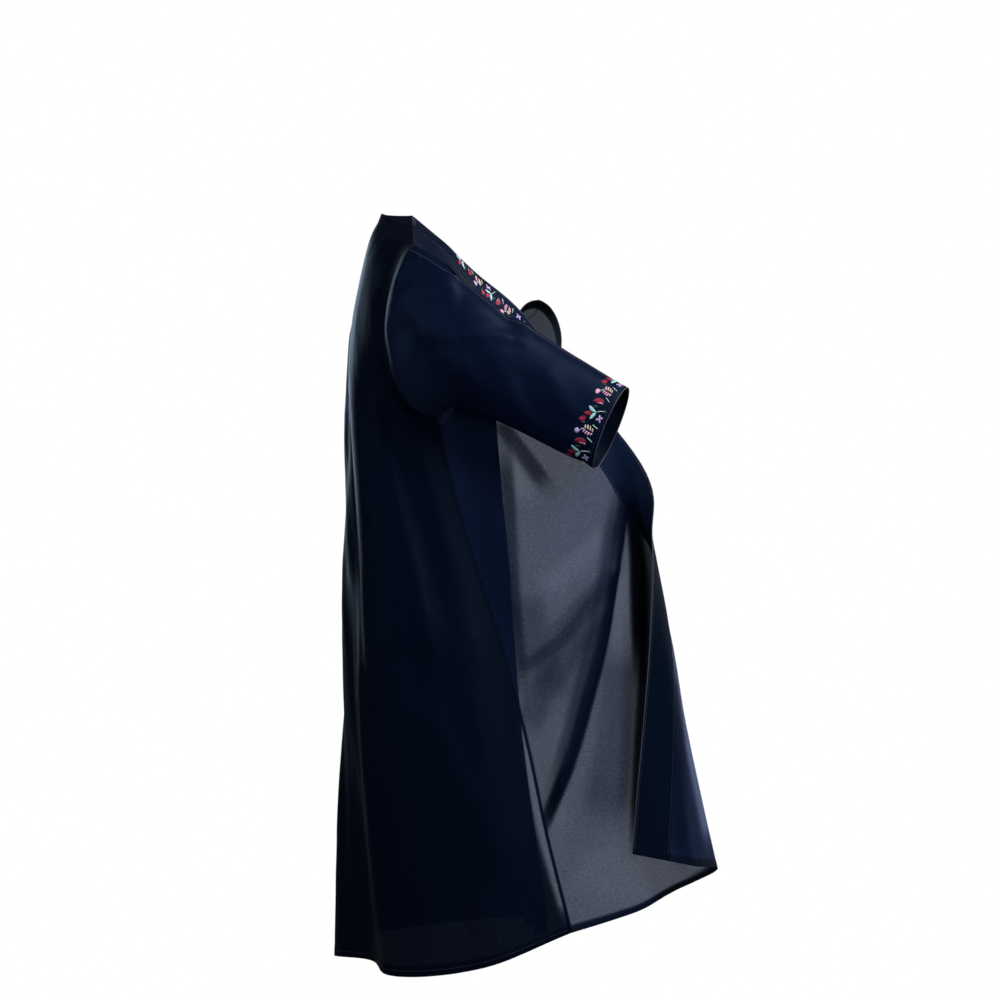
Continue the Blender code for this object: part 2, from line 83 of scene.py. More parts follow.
# %% [markdown]
# ## The pattern as sections
#
# A tailor would measure the garment at a few heights: shoulder, chest, waist, hip, hem. The tables
# below do the same. A row is one station down the cloth, and a column is a named line that runs down
# a panel, such as a flute, the roll of the held front or its free edge. +X is forward, +Y is the
# wearer's left and +Z is up, in millimetres. They are the values that the solids were made from,
# because the cloth has to lie exactly where the solids are.

# %% The sections of every panel
# Distance of each station down the cloth from the shoulder, in metres
STATIONS = {"shoulder": 0.0, "collar": 0.09, "chest": 0.18, "bust": 0.27, "armpit": 0.345, "waist": 0.45,
            "hip": 0.60, "thigh": 0.78, "knee": 0.95, "calf": 1.10, "hem": 1.27}


def mm(*values):
    """An array in metres of values in millimetres."""
    return np.array(values) / 1000


# Points of the right side, x, y, z. The left side mirrors them. The armhole runs once round from the
# shoulder tip over the front to the underarm and up the back.
NECK_SIDE = mm(-3, -70, -10)
NECK_BACK = mm(-62, 0, 2)
ARMHOLE = mm((5, -215, -80), (52, -198, -145), (84, -180, -235), (82, -172, -325), (45, -174, -385),
             (-18, -182, -345), (-46, -192, -245), (-32, -207, -145))

# Side seams from the underarm to the hem, right and left. The held front draws the right one forward.
SIDE_SEAMS = {
    "armpit": ((45, -174, -385), (45, 174, -385)),
    "waist": ((65, -190, -470), (50, 185, -470)),
    "hip": ((105, -195, -620), (55, 200, -620)),
    "thigh": ((164, -205, -800), (60, 218, -800)),
    "knee": ((209, -210, -970), (65, 235, -970)),
    "calf": ((241, -215, -1120), (70, 248, -1120)),
    "hem": ((285.5, -220, -1298), (78, 262, -1372)),
}

# Right front, x, y: near the side seam, its belly, where it turns, the roll at its outline, and back
# along the flap to the free edge. A third number is a known height, and the others follow from them.
RIGHT_FRONT = {
    "collar": ((58, -172), (64, -146), (64, -122), (62, -104, -68), (59, -89), (53, -75, -58)),
    "chest": ((103, -160), (116, -138), (120, -117), (120, -99, -138), (118, -83), (114.8, -65, -115.4)),
    "bust": ((118, -158), (150, -136), (171, -115), (184, -95, -222), (193, -75), (200, -52, -188)),
    "armpit": ((112, -170), (175, -160), (222, -150), (250, -143, -325), (269, -135), (285, -125, -305)),
    "waist": ((150, -192), (240, -195), (315, -196), (355, -195, -482), (385, -194), (408, -200, -467)),
    "hip": ((190, -208), (290, -212), (372, -184), (420, -146, -612), (430, -178), (427.5, -216, -600)),
    "thigh": ((240, -215), (325, -214), (398, -168), (465, -125, -785), (458, -185), (424, -224, -768)),
    "knee": ((280, -220), (352, -216), (415, -165), (494.6, -110, -940), (470, -195), (412.5, -232, -918)),
    "calf": ((310, -222), (375, -212), (435, -158), (523.6, -98, -1075), (480, -205), (401, -236, -1040)),
    "hem": ((345, -213), (410, -195), (470, -145), (554, -88, -1211), (497, -212), (392, -236, -1156)),
}

# Left front, hanging free over the legs: side, front of a flute, hollow, lap and free edge
LEFT_FRONT = {
    "collar": ((58, 170), (63, 142), (61, 118), (55, 92), (46, 70, -60)),
    "chest": ((101, 155), (112, 130), (112, 104), (105, 80), (96, 60, -130)),
    "bust": ((105, 152), (126, 126), (133, 100), (132, 75), (127, 52, -215)),
    "armpit": ((88, 160), (126, 132), (138, 100), (143, 70), (144, 45, -310)),
    "waist": ((102, 165), (145, 128), (143, 94), (152, 64), (155, 36, -430)),
    "hip": ((118, 190), (168, 142), (152, 98), (170, 55), (168, 14, -590)),
    "thigh": ((132, 212), (182, 160), (160, 106), (184, 52), (178, 0, -770)),
    "knee": ((143, 230), (198, 176), (170, 112), (198, 50), (188, -10, -940)),
    "calf": ((153, 246), (216, 190), (185, 118), (214, 48), (200, -18, -1090)),
    "hem": ((170, 268), (252, 208), (208, 122), (247, 42), (224, -36, -1340)),
}

# Back: seven heights, then x, y from the right side seam over flute, hollow and spine to the left one
BACK = {
    "collar": ((-92, -70, -62, -60, -62, -70, -92), (-46, -160), (-66, -110), (-80, -60), (-86, 0),
               (-80, 60), (-66, 110), (-46, 160)),
    "chest": ((-205, -190, -182, -180, -182, -190, -205), (-76, -160), (-96, -115), (-108, -62), (-112, 0),
              (-108, 62), (-96, 115), (-76, 160)),
    "bust": ((-315, -300, -292, -290, -292, -300, -315), (-72, -160), (-103, -120), (-118, -64), (-123, 0),
             (-118, 64), (-103, 120), (-72, 160)),
    "armpit": ((-385, -380, -375, -375, -375, -380, -385), (-40, -176), (-98, -136), (-119, -68),
               (-126, 0), (-119, 66), (-100, 124), (-45, 168)),
    "waist": ((-470,) * 7, (-20, -192), (-92, -150), (-114, -74), (-127, 0), (-117, 70), (-96, 134),
              (-35, 178)),
    "hip": ((-620,) * 7, (8, -207), (-86, -160), (-105, -82), (-130, 0), (-108, 80), (-98, 150), (-25, 196)),
    "thigh": ((-800,) * 7, (38, -217), (-88, -165), (-98, -90), (-134, 3), (-100, 88), (-106, 162),
              (-20, 216)),
    "knee": ((-970,) * 7, (62, -222), (-84, -168), (-92, -94), (-139, 10), (-94, 94), (-112, 172),
             (-18, 234)),
    "calf": ((-1120,) * 7, (84, -224), (-72, -168), (-82, -96), (-145, 16), (-90, 100), (-116, 182),
             (-14, 250)),
    "hem": ((-1362, -1382, -1376, -1388, -1390, -1390, -1384), (120, -223), (-46, -170), (-70, -94),
            (-152, 22), (-84, 104), (-122, 194), (-10, 268)),
}

# Sleeve rings from just outside the armhole to the cuff. Their side direction turns from forward
# towards the body, and their top leans the way the arm goes. The left one is written as if it
# were on the right, and mirrored. run and loop are shares, lean and turn are degrees.
Ring = namedtuple("Ring", "run x y z half_height half_depth lean turn loop")
RIGHT_SLEEVE = (
    Ring(0.05, 24, -222, -240, 140, 62, 4, 8, 0.75),
    Ring(0.16, 50, -243, -250, 128, 60, 14, 30, 0.35),
    Ring(0.32, 96, -252, -267, 112, 56, 26, 52, 0.08),
    Ring(0.48, 150, -257, -296, 93, 52, 33, 68, 0),
    Ring(0.66, 215.7, -262, -333, 83, 49, 35, 76, 0),
    Ring(0.84, 285, -268, -372, 79, 45, 31, 76, 0),
    Ring(1, 352, -275, -408.5, 76, 42, 23, 70, 0),
)
LEFT_SLEEVE = (
    Ring(0.05, 22, -222, -240, 140, 62, 2, 8, 0.75),
    Ring(0.16, 42, -250, -246, 126, 60, 8, 26, 0.35),
    Ring(0.32, 82, -280, -258, 112, 56, 12, 55, 0.08),
    Ring(0.48, 135, -283, -275, 98, 52, 8, 92, 0),
    Ring(0.66, 186, -240, -272, 88, 48, 0, 128, 0),
    Ring(0.84, 218, -155, -250, 80, 47, -4, 158, 0),
    Ring(1, 229, -50, -231, 76.6, 47, -4, 170, 0),
)

MIRROR = np.array([1.0, -1.0, 1.0])
SIDES = ("right", "left")
SLEEVES = ("sleeve_right", "sleeve_left")
TURNED = ("back", "front_left", "sleeve_left")
MITRE_LIMIT = 0.65
SHOULDER_SHARE = 0.27
NECK_BULGE = mm(-14, 0, -1)
print("stations:", len(STATIONS), "sleeve rings:", len(RIGHT_SLEEVE) + len(LEFT_SLEEVE))

# %% [markdown]
# ## From a few sections to a smooth sheet
#
# Straight lines between sections would show as kinks. A cubic through each pair of sections, with
# slopes shared by its neighbours, gives the even curve that hanging cloth has. The same function
# serves every direction: down a panel, across it, and round a sleeve.

# %% Curves
def smooth(knots, points, at):
    """Cubic through points at knots, each piece from two values and the two mean slopes there."""
    knots = np.asarray(knots, float)
    points = np.asarray(points, float)
    at = np.asarray(at, float)
    slopes = np.gradient(points, knots, axis=0)
    first = np.clip(np.searchsorted(knots, at, "right") - 1, 0, len(knots) - 2)
    shape = (-1,) + (1,) * (points.ndim - 1)
    step = (knots[first + 1] - knots[first]).reshape(shape)
    s = ((at - knots[first]).reshape(shape)) / step
    return (
        (1 + 2 * s) * (1 - s) ** 2 * points[first]
        + s * (1 - s) ** 2 * step * slopes[first]
        + s * s * (3 - 2 * s) * points[first + 1]
        + s * s * (s - 1) * step * slopes[first + 1]
    )


def running(steps, axis=0):
    """0 and then the running sum of the steps along an axis."""
    sums = np.cumsum(steps, axis=axis)
    return np.concatenate([0 * np.take(sums, [0], axis), sums], axis=axis)


def lengths(points):
    """Distance along a line of points: the running sum of the steps between them."""
    return running(np.linalg.norm(np.diff(points, axis=0), axis=1))


def unit(vectors):
    """Vectors divided by their lengths."""
    return vectors / np.linalg.norm(vectors, axis=-1, keepdims=True)


def step_up(low, high, x):
    """0 below low, 1 above high, and a smooth S of 3x^2 - 2x^3 between."""
    s = np.clip((x - low) / (high - low), 0, 1)
    return s * s * (3 - 2 * s)


def armhole(turns):
    """The right armhole at shares of one turn: 0 is the shoulder tip and 0.5 the underarm."""
    count = len(ARMHOLE)
    around = np.arange(-2, count + 3)
    return smooth(around / count, ARMHOLE[around % count], turns)


# %% Rows and seams that neighbouring panels share
def all_rows():
    """Distances down the cloth of every panel's rows, in two runs that meet at the underarm."""
    armpit = STATIONS["armpit"]
    above = np.linspace(0.0, armpit, ARMHOLE_STEPS + 1)
    below = np.linspace(armpit, STATIONS["hem"], SEAM_STEPS + 1)
    return np.concatenate([above, below[1:]])


def side_line(side, branch):
    """The armhole down to the underarm, by its front or back branch, then the side seam."""
    rows = all_rows()
    share = 0.5 * rows[:ARMHOLE_STEPS + 1] / STATIONS["armpit"]
    hole = armhole(share if branch == "front" else 1.0 - share)
    if side == "left":
        hole = hole * MIRROR
    knots = [STATIONS[name] for name in SIDE_SEAMS]
    points = mm(*[pair[SIDES.index(side)] for pair in SIDE_SEAMS.values()])
    seam = smooth(knots, points, rows[ARMHOLE_STEPS:])
    return np.concatenate([hole, seam[1:]])


def on_shoulder(side, count):
    """The straight shoulder seam: tip + share * (neck - tip)."""
    line = ARMHOLE[0] + (NECK_SIDE - ARMHOLE[0]) * np.linspace(0.0, 1.0, count)[:, None]
    return line if side == "right" else line * MIRROR


def resampled(controls, targets_of):
    """Each row of controls as a smooth line, cut at the lengths that targets_of gives for its length."""
    rows = []
    for row in controls:
        line = smooth(lengths(row), row, np.linspace(0.0, lengths(row)[-1], SAMPLES))
        run = lengths(line)
        targets = targets_of(run[-1])
        rows.append(np.stack([np.interp(targets, run, line[:, k]) for k in range(3)], axis=1))
    return np.array(rows)


# %% The two fronts
def front_sheet(side, table, steps):
    """Surface of (row, column): rows down the cloth, columns from the side seam to the free edge.
    The last FACING_STEPS columns cover exactly the width of the facing."""
    edge_side = side_line(side, "front")
    rows = all_rows()
    columns = [on_shoulder(side, len(table["hem"]) + 1)[1:]]
    for name in list(STATIONS)[1:]:
        points = [smooth(rows, edge_side, [STATIONS[name]])[0]] + [mm(*point) for point in table[name]]
        plan = np.array([point[:2] for point in points])
        known = [i for i, point in enumerate(points) if len(point) == 3]
        run = lengths(plan)
        heights = np.interp(run, run[known], [points[i][2] for i in known])
        columns.append(np.column_stack([plan, heights])[1:])
    controls = smooth(list(STATIONS.values()), columns, rows)
    controls = np.concatenate([edge_side[:, None], controls], axis=1)

    def targets(total):
        body = np.linspace(0.0, total - FACING_WIDTH, steps + 1)
        return np.concatenate([body, np.linspace(total - FACING_WIDTH, total, FACING_STEPS + 1)[1:]])

    sheet = resampled(controls, targets)
    share = lengths(sheet[0]) / lengths(sheet[0])[-1]
    tip, neck = on_shoulder(side, 2)
    sheet[0] = tip + (neck - tip) * share[:, None]
    return sheet


# %% The back
def back_sheet():
    """Surface of (row, column): rows from shoulders and neck to the hem, columns from right to left."""
    rows = all_rows()
    middle = (NECK_BACK + NECK_SIDE) / 2 + NECK_BULGE
    top = [on_shoulder("right", 2).mean(0), NECK_SIDE, middle, NECK_BACK]
    top += [point * MIRROR for point in top[2::-1]]
    columns = [np.array(top)]
    for name in list(STATIONS)[1:]:
        heights, *plan = BACK[name]
        columns.append(mm(*np.column_stack([plan, heights])))
    inner = smooth(list(STATIONS.values()), columns, rows)
    ends = [side_line(side, "back")[:, None] for side in SIDES]

    def targets(total):
        first = np.linspace(0.0, SHOULDER_SHARE, SHOULDER_STEPS + 1)
        across = np.linspace(SHOULDER_SHARE, 1 - SHOULDER_SHARE, NECK_STEPS + 1)[1:]
        return total * np.concatenate([first, across, (1 - first[::-1])[1:]])

    sheet = resampled(np.concatenate([ends[0], inner, ends[1]], axis=1), targets)
    arc = smooth(range(5), top[1:6], np.linspace(0, 4, NECK_STEPS + 1))
    top_line = np.concatenate([on_shoulder("right", SHOULDER_STEPS + 1), arc[1:-1],
                               on_shoulder("left", SHOULDER_STEPS + 1)[::-1]])
    fade = np.clip(1 - rows / STATIONS["chest"], 0, 1) ** 2
    return sheet + fade[:, None, None] * (top_line - sheet[0])


# %% The sleeves
def sleeve_sheet(table, side):
    """Surface of (ring, turn): each ring is an oval, centre + a cos(turn) up + b sin(turn) across,
    and the first rings blend into the armhole."""
    turns = np.arange(2 * ARMHOLE_STEPS) / (2 * ARMHOLE_STEPS)
    loop = armhole(turns)
    angle = 2 * math.pi * turns[:, None]
    rings, knots = [loop], [0.0]
    for ring in table:
        turn, lean = math.radians(ring.turn), math.radians(ring.lean)
        across = np.array([math.cos(turn), math.sin(turn), 0.0])
        travel = np.array([math.sin(turn), -math.cos(turn), 0.0])
        up = math.sin(lean) * travel + np.array([0.0, 0.0, math.cos(lean)])
        centre, high, deep = mm(ring.x, ring.y, ring.z), ring.half_height / 1000, ring.half_depth / 1000
        oval = centre + high * np.cos(angle) * up + deep * np.sin(angle) * across
        rings.append(ring.loop * (loop + centre - loop.mean(0)) + (1 - ring.loop) * oval)
        knots.append(ring.run)
    sheet = smooth(knots, rings, np.linspace(0.0, 1.0, SLEEVE_STEPS + 1))
    return sheet if side == "right" else sheet * MIRROR


sheets = {
    "front_right": front_sheet("right", RIGHT_FRONT, RIGHT_FRONT_STEPS),
    "front_left": front_sheet("left", LEFT_FRONT, LEFT_FRONT_STEPS),
    "back": back_sheet(),
    "sleeve_right": sleeve_sheet(RIGHT_SLEEVE, "right"),
    "sleeve_left": sleeve_sheet(LEFT_SLEEVE, "left"),
}
for name, sheet in sheets.items():
    print(name, "rows and columns", sheet.shape[:2])

# %% [markdown]
# ## The flat cut
#
# A sheet of cloth hardly stretches, so its flat size can be read from the smooth surface before any
# crease is added: the longest row is the width, the longest column is the length, and the small
# squares of the grid add up to the area.

# %% Normals, the way that a cloth's own coordinates run, and the flat cut
def normals_of(name, sheet):
    """Unit normals pointing outwards: cross product of the slopes down and across."""
    down = np.gradient(sheet, axis=0)
    if name in SLEEVES:
        across = (np.roll(sheet, -1, axis=1) - np.roll(sheet, 1, axis=1)) / 2
    else:
        across = np.gradient(sheet, axis=1)
    return unit(np.cross(down, across) * (-1 if name in TURNED else 1))


def cloth_coordinates(sheet):
    """Metres across from the first column and metres down from the first row, at every point."""
    steps = [np.linalg.norm(np.diff(sheet, axis=axis), axis=2) for axis in (1, 0)]
    return running(steps[0], 1), running(steps[1], 0)


def from_seams(name, across, down):
    """Metres from every point of a panel to its nearest long edge, or to the armhole of a sleeve."""
    return down if name in SLEEVES else np.minimum(across, across[:, -1:] - across)


def flat_cut(name, sheet):
    """Width, length and area of the cloth before it was hung."""
    if name in SLEEVES:
        sheet = np.concatenate([sheet, sheet[:, :1]], axis=1)
    across, down = cloth_coordinates(sheet)
    corner = np.cross(sheet[1:, :-1] - sheet[:-1, :-1], sheet[:-1, 1:] - sheet[:-1, :-1])
    area = np.linalg.norm(corner, axis=2).sum()
    return float(across[:, -1].max()), float(down[-1].max()), float(area)


cuts = {name: flat_cut(name, sheet) for name, sheet in sheets.items()}
for name, cut in cuts.items():
    print(name, "cut: %.3f m wide, %.3f m long, %.3f square metres" % cut)

# %% [markdown]
# ## Creases
#
# Cloth that is pulled at one place makes long folds that start there: here from the hand that holds the
# front, from the raised arm and from the shoulder blades. A simulation would find some folds of its own.
# Listed one by one, each one lies where it does on the garment. A crease is a smooth line with a soft crest
# or trough across it, uneven in length, depth and spacing. The column `stack` gives extra layers along a
# line, which lets less light through and darkens the colour. Where a fold is pinched, the cloth lies three
# deep, and the stack there also paints the shade in the fold. A few lines have no height. They make the
# cloth denser or thinner where it doubles softly or is stretched, and most of them are painted shade or
# painted light: shadows beside and under the held front's free edge, shade along the border of its grey
# zone, soft shadow bands, and a painted sheen along its outer fold.
#
# Folds on the near side are placed by x and z, as they are seen from the side, and one on top of the
# sleeve by x and y, as seen from above. Others are placed in the cloth's own measure: across from its
# first column and down from its first row. Paths, widths and heights are in millimetres.

# %% The creases
Crease = namedtuple("Crease", "path width height skew stack", defaults=(0, 0, 0))
# Most lines with a stack paint shade into the cloth, and with a negative stack paint light, besides where
# the cloth really lies doubled in a pinched fold or single beside the back's side seam.
CREASES = {
    ("front_right", "side"): (
        Crease(((372, -560), (308, -825), (243, -1090)), 32, 9),
        Crease(((330, -545), (263, -752), (196, -960)), 34, -6),
        # The S-fold down the held front and its soft flank: their stack is partly cloth lying doubled,
        # partly painted shade in the fold.
        Crease(((394, -480), (378, -566), (362, -660), (343, -770), (318, -880), (290, -982), (252, -1080),
               (232, -1130)), 9.5, 4, -0.3, 2.2),
        Crease(((384, -480), (366, -566), (349, -660), (329, -770), (303, -880), (276, -982),
               (244, -1080)), 17, 3, stack=0.55),
        # Painted shadow in the strip beside the held front's free edge.
        Crease(((424, -545), (422, -700), (421, -820), (413, -930), (404, -1060), (398, -1160)),
               11, stack=1.2),
        # Soft bands of painted shade across the held front.
        Crease(((354, -660), (290, -755), (232, -809), (186, -833)), 12, -2, stack=0.4),
        Crease(((332, -733), (241, -861), (204, -952)), 24, -2, stack=0.26),
        Crease(((385, -780), (375, -950), (335, -1120)), 42, stack=0.34),
        # Painted shade along the soft border of the grey zone.
        Crease(((165, -400), (176, -560), (186, -740), (200, -900)), 12, stack=0.55),
        Crease(((-10, -10), (60, -80), (130, -170)), 50, stack=1),
        # Negative stack: a painted sheen along the held front's outer fold.
        Crease(((454, -720), (474, -850), (499, -970), (526, -1100), (542, -1190)), 11, stack=-0.6),
        Crease(((455, -800), (468, -900), (475, -966), (478, -1109), (492, -1200)), 14, stack=0.8),
        # Painted shade that darkens the held front between its side seam and the grey zone.
        Crease(((104, -330), (118, -440), (134, -560), (152, -680), (170, -800)), 28, stack=0.45),
        # Painted shadow in the dark wedge under the hand.
        Crease(((362, -440), (392, -540), (405, -620), (409, -740), (410, -860)), 13.5, stack=1.9),
        # Soft bands of painted shade, and of painted light where the stack is negative.
        Crease(((196, -690), (222, -790), (246, -890)), 32, stack=0.25),
        Crease(((300, -1150), (370, -1200), (430, -1190)), 60, stack=-0.08),
        Crease(((150, -380), (195, -440), (250, -515)), 14, 6, -0.2, 0.6),
        Crease(((150, -420), (182, -475), (215, -545)), 18, -4, stack=-0.12),
        Crease(((376, -640), (312, -702), (236, -785)), 14, 4, 0.3, 0.22),
        Crease(((362, -580), (300, -640), (222, -700)), 22, -4, stack=-0.1),
        Crease(((345, -700), (300, -800), (262, -905)), 15, 3, stack=0.12),
        Crease(((384, -600), (368, -820), (340, -1100)), 20, -4, 0.2, -0.1),
        Crease(((392, -700), (384, -900), (374, -1120)), 10, 3, stack=0.1),
        Crease(((290, -900), (262, -1010), (262, -1150)), 16, 3, stack=-0.08),
    ),
    ("back", "side"): (
        Crease(((196, -860), (206, -966), (231, -1109), (264, -1225), (285, -1290)), 13, stack=-1.6),
        Crease(((-65, -157), (-20, -318), (52, -533), (128, -760)), 30, 6, 0.2),
        Crease(((-60, -330), (0, -555), (60, -780)), 34, -7),
        Crease(((-47, -175), (30, -400), (105, -640)), 20, 2.2, 0.3),
        Crease(((-65, -156), (-38, -228), (-24, -262), (15, -308)), 13, -8, 0.3, 0.4),
        Crease(((-58, -205), (-40, -290), (-10, -330), (34, -352)), 13, 6),
        Crease(((-52, -268), (-34, -315), (-8, -358), (40, -392)), 12, -7, 0.3, 0.4),
        Crease(((-75, -310), (-48, -450), (4, -640), (52, -860)), 14, 4, -0.2),
        Crease(((-30, -420), (24, -600), (90, -850)), 18, -2.5, 0.2),
        Crease(((30, -880), (72, -985), (125, -1110)), 26, 4),
        Crease(((90, -680), (132, -965), (175, -1250)), 36, 8),
        Crease(((-106, -690), (-95, -978), (-75, -1156), (-60, -1370)), 11, 6, 0.3),
    ),
    ("back", "cloth"): (
        Crease(((230, 140), (300, 420), (330, 800)), 24, 7),
        Crease(((220, 280), (260, 600), (300, 1100)), 18, -6, 0.2),
        Crease(((240, 20), (245, 300), (400, 780)), 18, -5),
        Crease(((330, 160), (380, 520), (440, 1250)), 22, 6, -0.2),
        Crease(((370, 380), (460, 800), (520, 1340)), 18, -6),
        Crease(((420, 100), (500, 360), (560, 720)), 18, 6, 0.2),
        Crease(((470, 200), (560, 550), (620, 1300)), 20, -6),
        Crease(((500, 300), (580, 480), (700, 1100)), 18, 6),
    ),
    ("sleeve_right", "top"): (
        Crease(((70, -276), (135, -278), (205, -276)), 42, -15.5),
    ),
    ("sleeve_right", "side"): (
        Crease(((-36, -185), (30, -285), (100, -352), (150, -392)), 22, -6, -0.2, 0.3),
        Crease(((4, -190), (75, -285), (150, -352)), 24, 2.5),
        Crease(((105, -262), (128, -305), (141, -345)), 16, -1.5),
        Crease(((184, -305), (206, -352), (238, -405)), 18, -3, 0.3),
        Crease(((142, -270), (172, -330), (205, -395)), 20, 1.8),
        Crease(((230, -300), (262, -345), (290, -400)), 16, 3),
    ),
    ("sleeve_right", "cloth"): (
        Crease(((620, 20), (600, 120), (660, 240)), 20, -6),
        Crease(((480, 100), (420, 190), (400, 330)), 14, 4),
        Crease(((150, 60), (170, 170), (140, 280)), 16, -5),
    ),
    ("sleeve_left", "cloth"): (
        Crease(((100, 150), (170, 165), (250, 150)), 13, -9, 0.2, 0.3),
        Crease(((80, 210), (160, 215), (260, 200)), 12, 7),
        Crease(((110, 245), (180, 250), (240, 240)), 12, -8, stack=0.3),
        Crease(((70, 300), (150, 290), (220, 310)), 13, 5),
        Crease(((420, 50), (500, 180), (520, 340)), 22, 6),
        Crease(((560, 30), (600, 160), (640, 250)), 18, -6),
        Crease(((360, 120), (380, 260), (340, 440)), 16, -5),
        Crease(((700, 20), (720, 100), (760, 200)), 16, 5),
    ),
    ("front_left", "cloth"): (
        Crease(((60, 340), (100, 620), (120, 1000)), 17, 6, 0.2),
        Crease(((30, 400), (50, 750), (70, 1200)), 15, -5),
        Crease(((160, 300), (190, 580), (240, 1150)), 18, -7, -0.2),
        Crease(((170, 520), (260, 850), (300, 1300)), 14, 5),
        Crease(((100, 100), (120, 220), (170, 360)), 13, 4),
    ),
}
# How far from a seam or a free front edge a crease dies out, and how steeply its ends rise
CREASE_FADE = 0.045
CREASE_RISE = 4.0
CREASE_END = 0.3
# Over this depth on the near side the creases that were placed from the side come in
NEAR_SIDE = 0.10


# %% A soft crest along a smooth line
def beside(points, path):
    """For every 2-D point: distance to the smooth line through path, its side, and share along it."""
    count = 25
    line = smooth(np.linspace(0, 1, len(path)), mm(*path), np.linspace(0, 1, count))
    start, step = line[:-1], np.diff(line, axis=0)
    away = points[..., None, :] - start
    share = np.clip((away * step).sum(-1) / (step ** 2).sum(-1), 0, 1)
    gap = away - share[..., None] * step
    distance = np.linalg.norm(gap, axis=-1)
    best = distance.argmin(-1)[..., None]
    side = np.sign(step[:, 0] * away[..., 1] - step[:, 1] * away[..., 0])
    pick = lambda values: np.take_along_axis(values, best, -1)[..., 0]
    return pick(distance), pick(side), (best[..., 0] + pick(share)) / (count - 1)


def creased(name, sheet):
    """The sheet moved along its normals by the sum of its creases, height * exp(-(d / width)^2), and the
    layers at every point, which hold both the cloth's layers and the painted shade and painted light of the
    stacks."""
    normal = normals_of(name, sheet)
    across, down = cloth_coordinates(sheet)
    fade = np.clip(from_seams(name, across, down) / CREASE_FADE, 0, 1)
    near = np.clip(-normal[..., 1] * 2 if name in SLEEVES else -sheet[..., 1] / NEAR_SIDE, 0, 1)
    raised, layers = np.zeros(sheet.shape[:2]), np.ones(sheet.shape[:2])
    flat = {"side": sheet[..., ::2], "top": sheet[..., :2], "cloth": np.stack([across, down], axis=-1)}
    shown = {"side": near, "top": np.clip(normal[..., 2] * 2, 0, 1), "cloth": 1}
    for (piece, seen), creases in CREASES.items():
        for crease in creases if piece == name else ():
            distance, side, share = beside(flat[seen], crease.path)
            spread = distance / (crease.width / 1000 * (1 + crease.skew * side))
            ends = np.clip(np.minimum(share, 1 - share) * CREASE_RISE + CREASE_END, 0, 1) ** 2 * shown[seen]
            raised += crease.height / 1000 * np.exp(-(spread ** 2)) * ends
            # The stack adds layers: in pinched folds partly doubled cloth, elsewhere painted shade, and
            # painted light where it is negative.
            layers += crease.stack * np.exp(-(spread ** 4)) * ends
    return sheet + (raised * fade)[..., None] * normal, layers


# %% [markdown]
# ## The unevenness of worn cloth
#
# Between its main folds, cloth is never quite smooth. Random numbers on a coarse grid, joined by an S
# curve, give slow swells that are longer down the cloth than across it. Their seed is fixed, so the
# garment is the same each time. They are largest where the cloth hangs free and fade at the seams.

# %% Slow swells
# Height, and the pitch across and down, of the slow and the small swells
SWELLS = ((0.0013, 0.045, 0.22), (0.00035, 0.013, 0.05))


def swells(across, down, pitch_across, pitch_down, seed):
    """Random heights from -1 to 1 at grid points, mixed by 3x^2 - 2x^3 between them."""
    table = np.random.default_rng(seed).uniform(-1, 1, (64, 64))
    x, y = across / pitch_across, down / pitch_down
    x0, y0 = np.floor(x).astype(int), np.floor(y).astype(int)
    fx, fy = step_up(0, 1, x - x0), step_up(0, 1, y - y0)
    at = lambda row, column: table[row % 64, column % 64]
    top = at(y0, x0) * (1 - fx) + at(y0, x0 + 1) * fx
    low = at(y0 + 1, x0) * (1 - fx) + at(y0 + 1, x0 + 1) * fx
    return top * (1 - fy) + low * fy


def swollen(name, sheet, seed):
    """The sheet with slow swells of 1.3 mm and small ones of 0.35 mm, none at its seams."""
    across, down = cloth_coordinates(sheet)
    fade = np.clip(from_seams(name, across, down) / CREASE_FADE, 0, 1)
    height = sum(rise * swells(across, down, *pitches, seed + k)
                 for k, (rise, *pitches) in enumerate(SWELLS))
    return sheet + (height * fade)[..., None] * normals_of(name, sheet)


# How many layers of cloth each panel lies deep. In the picture only the held front is grey
CLOTH_LAYERS = {"front_right": 1.0, "front_left": 1.7, "back": 2.5, "sleeve_right": 1.5, "sleeve_left": 1.2}
layers_of = {}
for seed, name in enumerate(sheets):
    sheets[name], layers_of[name] = creased(name, sheets[name])
    layers_of[name] += CLOTH_LAYERS[name] - 1
    sheets[name] = swollen(name, sheets[name], 10 * seed + 5)
    print(name, "creases:", sum(len(group) for key, group in CREASES.items() if key[0] == name))

# %% [markdown]
# ## Seams
#
# Two panels that meet at a seam share the line of the seam, but each has its own normals there. A
# wall made from them would gape or overlap. At a seam both panels take the same mean normal,
# stretched a little, which is what a carpenter calls a mitre.

# %% Mitred seams
def mitred(*normals):
    """Mean of the normals, divided by the cosine of its angle to them."""
    mean = unit(np.sum(normals, axis=0))
    lean = np.min([np.sum(mean * n, axis=-1) for n in normals], axis=0)
    return mean / np.clip(lean, MITRE_LIMIT, 1.0)[..., None]


